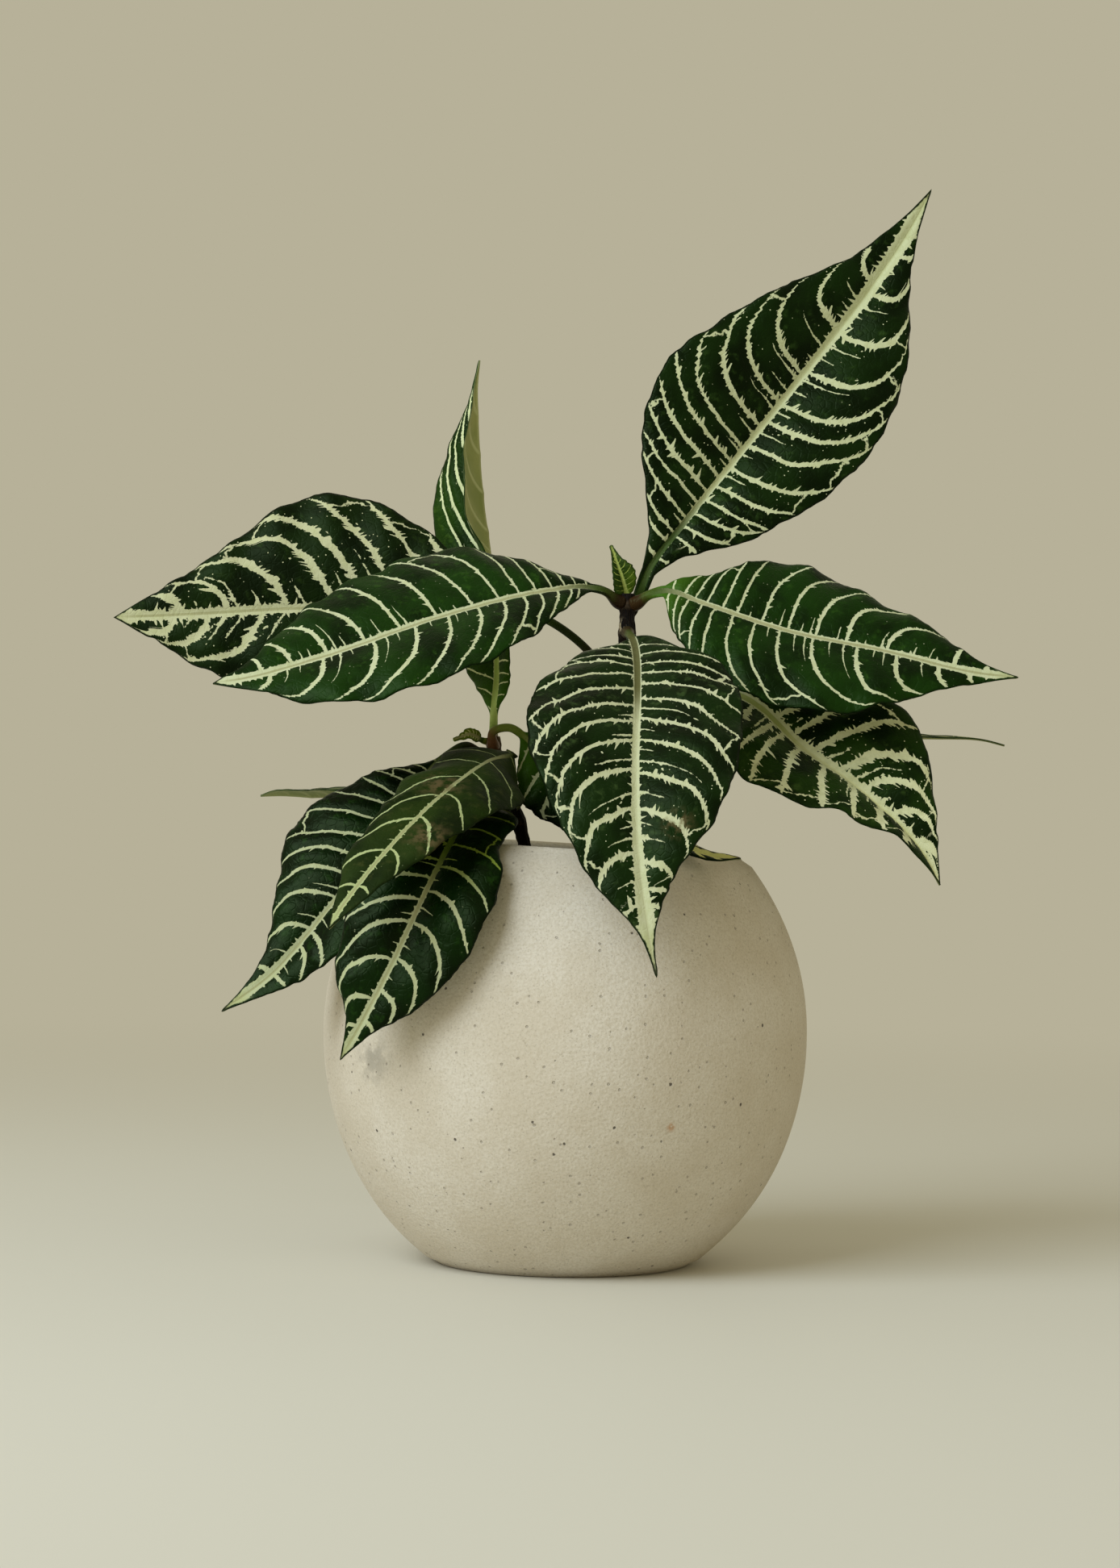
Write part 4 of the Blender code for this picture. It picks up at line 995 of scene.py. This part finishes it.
def leaf_piece(name, leaf):
    """The whole leaf as one closed piece: rings from root to tip, over the upper face and back below."""
    blade_rows = leaf["rows"]
    path, run = leaf_path(leaf)
    start = leaf["blade_from"]
    petiole_rows = max(PETIOLE_ROWS, int(blade_rows * start / (1.0 - start)))
    shares = [*np.linspace(0.0, start, petiole_rows, endpoint=False),
              *np.linspace(start, 1.0, blade_rows + 1)]
    rows = [leaf_row(leaf, path, run, share) for share in shares]
    length = run[-1] * (1.0 - start)
    spread = np.linspace(0.0, 1.0, UPPER_COLUMNS - 3) ** 1.3
    outer = np.linspace(RIM_FROM, 1.0, 4)[1:]
    upper = np.concatenate([NEAREST_COLUMN + (RIM_FROM - NEAREST_COLUMN) * spread, outer])
    lower = np.linspace(NEAREST_COLUMN, 1.0, LOWER_COLUMNS)
    parts = [half_face(name, leaf, rows, "left", 1.0, upper[::-1], length),
             half_face(name, leaf, rows, "right", 1.0, upper, length),
             half_face(name, leaf, rows, "right", -1.0, lower[-2::-1], length),
             half_face(name, leaf, rows, "left", -1.0, lower[:-1], length)]
    rings = np.concatenate([part[0] for part in parts], axis=1)
    marks = {mark: np.concatenate([part[1][mark] for part in parts], axis=1) for mark in parts[0][1]}
    return wrapped(name + "_blade", rings, marks, 2 * UPPER_COLUMNS - 1)


# How a look draws the veins: their width, the share of spaces that have a loop, and how thorny and how ragged
# they are. Then its dark, usual and bright greens, its cream, and the roughness of the skin.
Look = namedtuple("Look", "vein loops barb feather deep green bright cream gloss")
LOOKS = {
    "dark": Look(1.12, 0.5, 1.9, 1.0, (2, 12, 1), (13, 32, 5), (44, 68, 24), (196, 200, 158), 0.34),
    "fresh": Look(0.82, 0.12, 0.7, 0.4, (5, 22, 2), (18, 46, 6), (44, 78, 20), (196, 200, 160), 0.34),
    # Its bright green is partly a painted sheen: lighter and greyer as glossy patches on leaf_front.
    "linked": Look(0.95, 0.5, 1.5, 1.1, (4, 16, 2), (15, 34, 7), (60, 80, 40), (194, 196, 158), 0.34),
    "feathered": Look(1.3, 0.7, 2.0, 2.2, (2, 10, 1), (12, 28, 4), (34, 52, 16), (190, 190, 150), 0.4),
    # A lighter copy of the feathered look: painted light that lifts the shadow other leaves cast on
    # leaf_low_right.
    "feathered_painted_light": Look(1.3, 0.7, 2.6, 2.2, (6, 22, 3), (28, 52, 10), (60, 84, 34), (224, 226, 182), 0.4),
    "glossy": Look(0.8, 0.15, 0.6, 0.35, (2, 10, 1), (6, 27, 3), (28, 58, 13), (176, 180, 140), 0.3),
    "dull": Look(0.55, 0.0, 0.3, 0.3, (14, 26, 4), (33, 48, 11), (60, 64, 28), (168, 178, 124), 0.55),
    # Its cream is made lighter as painted light, for leaf_upright, which falls in shade.
    "lit": Look(0.62, 0.15, 0.5, 0.3, (12, 32, 3), (30, 58, 8), (66, 94, 26), (220, 226, 174), 0.4),
    "plain": Look(0.6, 0.0, 0.4, 0.4, (24, 42, 12), (46, 68, 24), (76, 94, 40), (170, 174, 122), 0.4),
    "bud": Look(0.3, 0.0, 0.1, 0.1, (84, 100, 24), (112, 132, 36), (140, 150, 56), (196, 196, 128), 0.4),
    "young": Look(0.12, 0.0, 0.1, 0.1, (30, 48, 9), (76, 98, 20), (108, 124, 34), (144, 156, 66), 0.38),
}
THORN_EVERY = 2.4
SPUR_EVERY = 9.0
TOOTH_EVERY = 2.9
LOOP_IN_FROM_RIM = 2.2
LOOP_SAG = 4.6
LOOP_HALF_WIDTH = 0.32
STRIP_HALF_WIDTH = 0.95
DOT_SPACING = 0.0017
FRESH_GREEN_AND_SHEEN = (66, 106, 22)
PALE_VEIN = (166, 170, 112)
YELLOW_VEIN = (124, 142, 54)
BROWN_PATCH = (98, 82, 54)


def spikes(look, run, size, base):
    """Thorns along a line, one in each stretch of a size: their pattern and each one's random numbers."""
    dot = look.node("TexVoronoi", {"voronoi_dimensions": "1D"}, {"W": run / size, "Scale": 1.0})
    chance = Shade(look.tree, dot.socket.node.outputs[1]).parts()
    return (1.0 - dot * (size / base)).most(0.0), chance


def stalk_colour(look, leaf, place):
    """The petiole's own colour, which turns from its colour at the blade to that at the stem."""
    bare = leaf["blade_from"] / (1.0 - leaf["blade_from"])
    browned = place.rise(0.0, -bare) + look.sway(0.006, 3.0, 0.8)
    return browned.rise(0.25, 0.85).mix(*leaf["stalk"])


def cream_pattern(look, leaf, taste):
    """Where the upper face is cream, and where that is its pale tip."""
    barb, feather = taste.barb, taste.feather
    number, pitch, run = look.attribute("vein")
    place, across, where = look.attribute("place")
    rim, half_width, middle = look.attribute("band")
    side = across.above(0.0)

    # Laterals and streaks, with short thorns and a few long spurs on both sides of each.
    number = number + look.sway(0.013, 2.0, feather * 0.2 + 0.25)
    nearest = number.maths("ROUND")
    off = number - nearest
    away = abs(off) * pitch
    key = nearest * 57.31 + side * 171.7 + off.above(0.0) * 413.9
    thorn, chance = spikes(look, run - away * 0.35 + key, THORN_EVERY - feather * 0.3, 0.5 + feather * 0.06)
    thorn = thorn * (chance[0] * chance[0] * 1.2 + 0.12) * chance[1].above(0.3) * barb
    spur, luck = spikes(look, run - away * 0.45 + key, SPUR_EVERY, 0.7 + feather * 0.25)
    spur = spur * (luck[0] * 3.2 + 0.5) * luck[1].above(0.5) * barb
    barbs = thorn.most(spur) * half_width.rise(0.3, 0.6) * (place.rise(0.05, 0.5) * 0.6 + 0.4)
    jagged = look.sway(0.001, 2.0, 0.35 + feather * 0.5) + look.sway(0.003, 3.0, feather)
    line = half_width * (look.sway(0.008, 2.0, feather * 0.7) + 1.0) * taste.vein + barbs + jagged
    cream = (line - away).rise(-0.1, 0.12) * half_width.above(0.0)

    # The midrib, with teeth that grow towards the tip.
    tooth, fortune = spikes(look, where + abs(across) * 0.3 + side * 57.3, TOOTH_EVERY, 0.8)
    tooth = tooth * (fortune[0] * fortune[0] * 1.9 + 0.1)
    tooth = tooth * (place.rise(0.2, 0.7) * 0.9 + 0.25) * (barb * 0.6 + 0.4)
    spine = middle + tooth + jagged * (place.rise(0.3, 0.9) * 1.2 + 0.5) - abs(across)

    # Loops near the margin, from one full lateral to the next, in some of the spaces between them.
    crest = look.attribute("loop")[0]
    inset = crest.maths("FRACT") ** 1.4 * LOOP_SAG + LOOP_IN_FROM_RIM
    loop = jagged * 0.7 + LOOP_HALF_WIDTH - abs(rim + look.sway(0.005, 3.0, 4.0) - inset)
    space = crest.maths("FLOOR") + side * 40.0
    picked = look.node("TexWhiteNoise", {"noise_dimensions": "1D"}, {"W": space}).above(1.0 - taste.loops)
    loop = loop.rise(-0.12, 0.15) * crest.above(0.0) * picked * (rim + abs(across)).rise(9.0, 14.0)

    # Dots between the laterals, and the pale tip. All of it ends a little short of the margin and petiole.
    dots = look.dots(DOT_SPACING, 0.2, 0.12, 0.9 - feather * 0.05) * away.rise(3.5, 1.0) * feather
    tip = place.rise(leaf["pale_from"], leaf["pale_from"] + 0.04)
    cream = cream.most(loop).most(spine.rise(-0.1, 0.15)).most(dots.least(1.0)).most(tip)
    cream = cream * (rim + look.sway(0.002, 2.0, 1.2)).rise(0.5, 1.1) * place.rise(-0.02, 0.04)
    return cream, tip, away


def upper_finish(name, leaf):
    """The blade's upper face: the cream pattern on mottled green, the midrib's strip, petiole and sheen."""
    taste = LOOKS[leaf["look"]]
    look = Finish(name + "_upper")
    place, across = look.attribute("place")[:2]
    rim = look.attribute("band")[0]
    cream, tip, away = cream_pattern(look, leaf, taste)

    green = look.noise(0.022, 3.0).rise(0.36, 0.62).mix(taste.deep, taste.green)
    # Lighter green patches between the veins; with the linked look's bright green they are also a painted
    # sheen.
    patch = look.noise(0.0042, 4.0, roughness=0.6).rise(0.5, 0.74) * away.rise(0.8, 3.4) * 0.6
    green = patch.mix(green, taste.bright)
    green = (rim.rise(1.2, 0.2) * 0.6).mix(green, taste.deep)
    # Fresh green near the base; on leaf_right this lighter green is a painted sheen.
    if leaf["fresh_and_sheen_until"]:
        green = (place.rise(leaf["fresh_and_sheen_until"], 0.0) * 0.8).mix(green, FRESH_GREEN_AND_SHEEN)
    pale = (look.noise(0.0035, 3.0).rise(0.4, 0.75) * 0.35).most(tip * 0.6)
    pale = pale.mix(leaf["cream"] or taste.cream, PALE_VEIN)
    if leaf["yellow_until"]:
        early = place.rise(leaf["yellow_until"] + 0.06, leaf["yellow_until"] - 0.1)
        pale = early.mix(pale, YELLOW_VEIN)
    colour = cream.mix(green, pale)
    early = place.rise(leaf["green_until"] + 0.08, leaf["green_until"] - 0.08)
    strip = (early * 0.55 + STRIP_HALF_WIDTH - place * 0.4 - abs(across)).rise(-0.15, 0.25)
    strip = strip * place.rise(1.0, 0.93) * (early * 0.2 + 0.75)
    colour = strip.mix(colour, early.mix(leaf["ridge"], leaf["groove"]))
    colour = place.rise(0.02, -0.06).mix(colour, stalk_colour(look, leaf, place))
    for spot, radius, strength in leaf["blemish"]:
        worn = look.near(spot, radius) * look.noise(0.0035, 4.0).rise(0.4, 0.62) * strength
        colour = worn.least(1.0).mix(colour, BROWN_PATCH)
    sheen = look.noise(0.009, 3.0) * 0.2 + (taste.gloss - 0.04) + cream * 0.08
    net = look.cells(0.0034, "DISTANCE_TO_EDGE").rise(0.0, 0.14)
    skin = look.noise(0.0007, 2.0) * 0.2 + look.noise(0.0042, 3.0) * 1.2 + net * 0.35 - cream * 0.3
    return look.paint(base_color=colour, roughness=sheen, specular_ior_level=0.12,
                      specular_tint=(0.7, 1.0, 0.45), normal=look.bump(skin, 0.0004, 0.5))


def lower_finish(name, leaf):
    """The blade's pale underside with its raised veins, and the underside of its petiole."""
    look = Finish(name + "_lower")
    number, pitch = look.attribute("vein")[:2]
    place, across = look.attribute("place")[:2]
    rim, half_width, middle = look.attribute("band")
    away = abs(number - number.maths("ROUND")) * pitch
    lines = (half_width * 0.6 + 0.25 - away).rise(-0.5, 0.5) * half_width.above(0.0)
    spine = (middle * 0.8 - abs(across)).rise(-0.4, 0.5)
    dull, lit, pale = leaf["under"]
    broad = look.noise(0.02, 4.0)
    colour = broad.rise(0.35, 0.65).mix(dull, lit)
    colour = (lines.most(spine) * 0.8).mix(colour, pale)
    colour = (rim.rise(1.2, 0.2) * 0.5).mix(colour, LOOKS[leaf["look"]].green)
    colour = place.rise(0.03, -0.05).mix(colour, stalk_colour(look, leaf, place))
    skin = look.noise(0.0009, 3.0) + lines * 0.8
    return look.paint(base_color=colour, roughness=broad * 0.15 + 0.45, specular_ior_level=0.3,
                      normal=look.bump(skin, 0.0002, 0.6))


for name, measures in LEAVES.items():
    leaf = {**USUAL, **measures}
    piece = leaf_piece(name, leaf)
    piece.data.materials.append(upper_finish(name, leaf))
    piece.data.materials.append(lower_finish(name, leaf))
    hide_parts(name)
    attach(piece, "root")
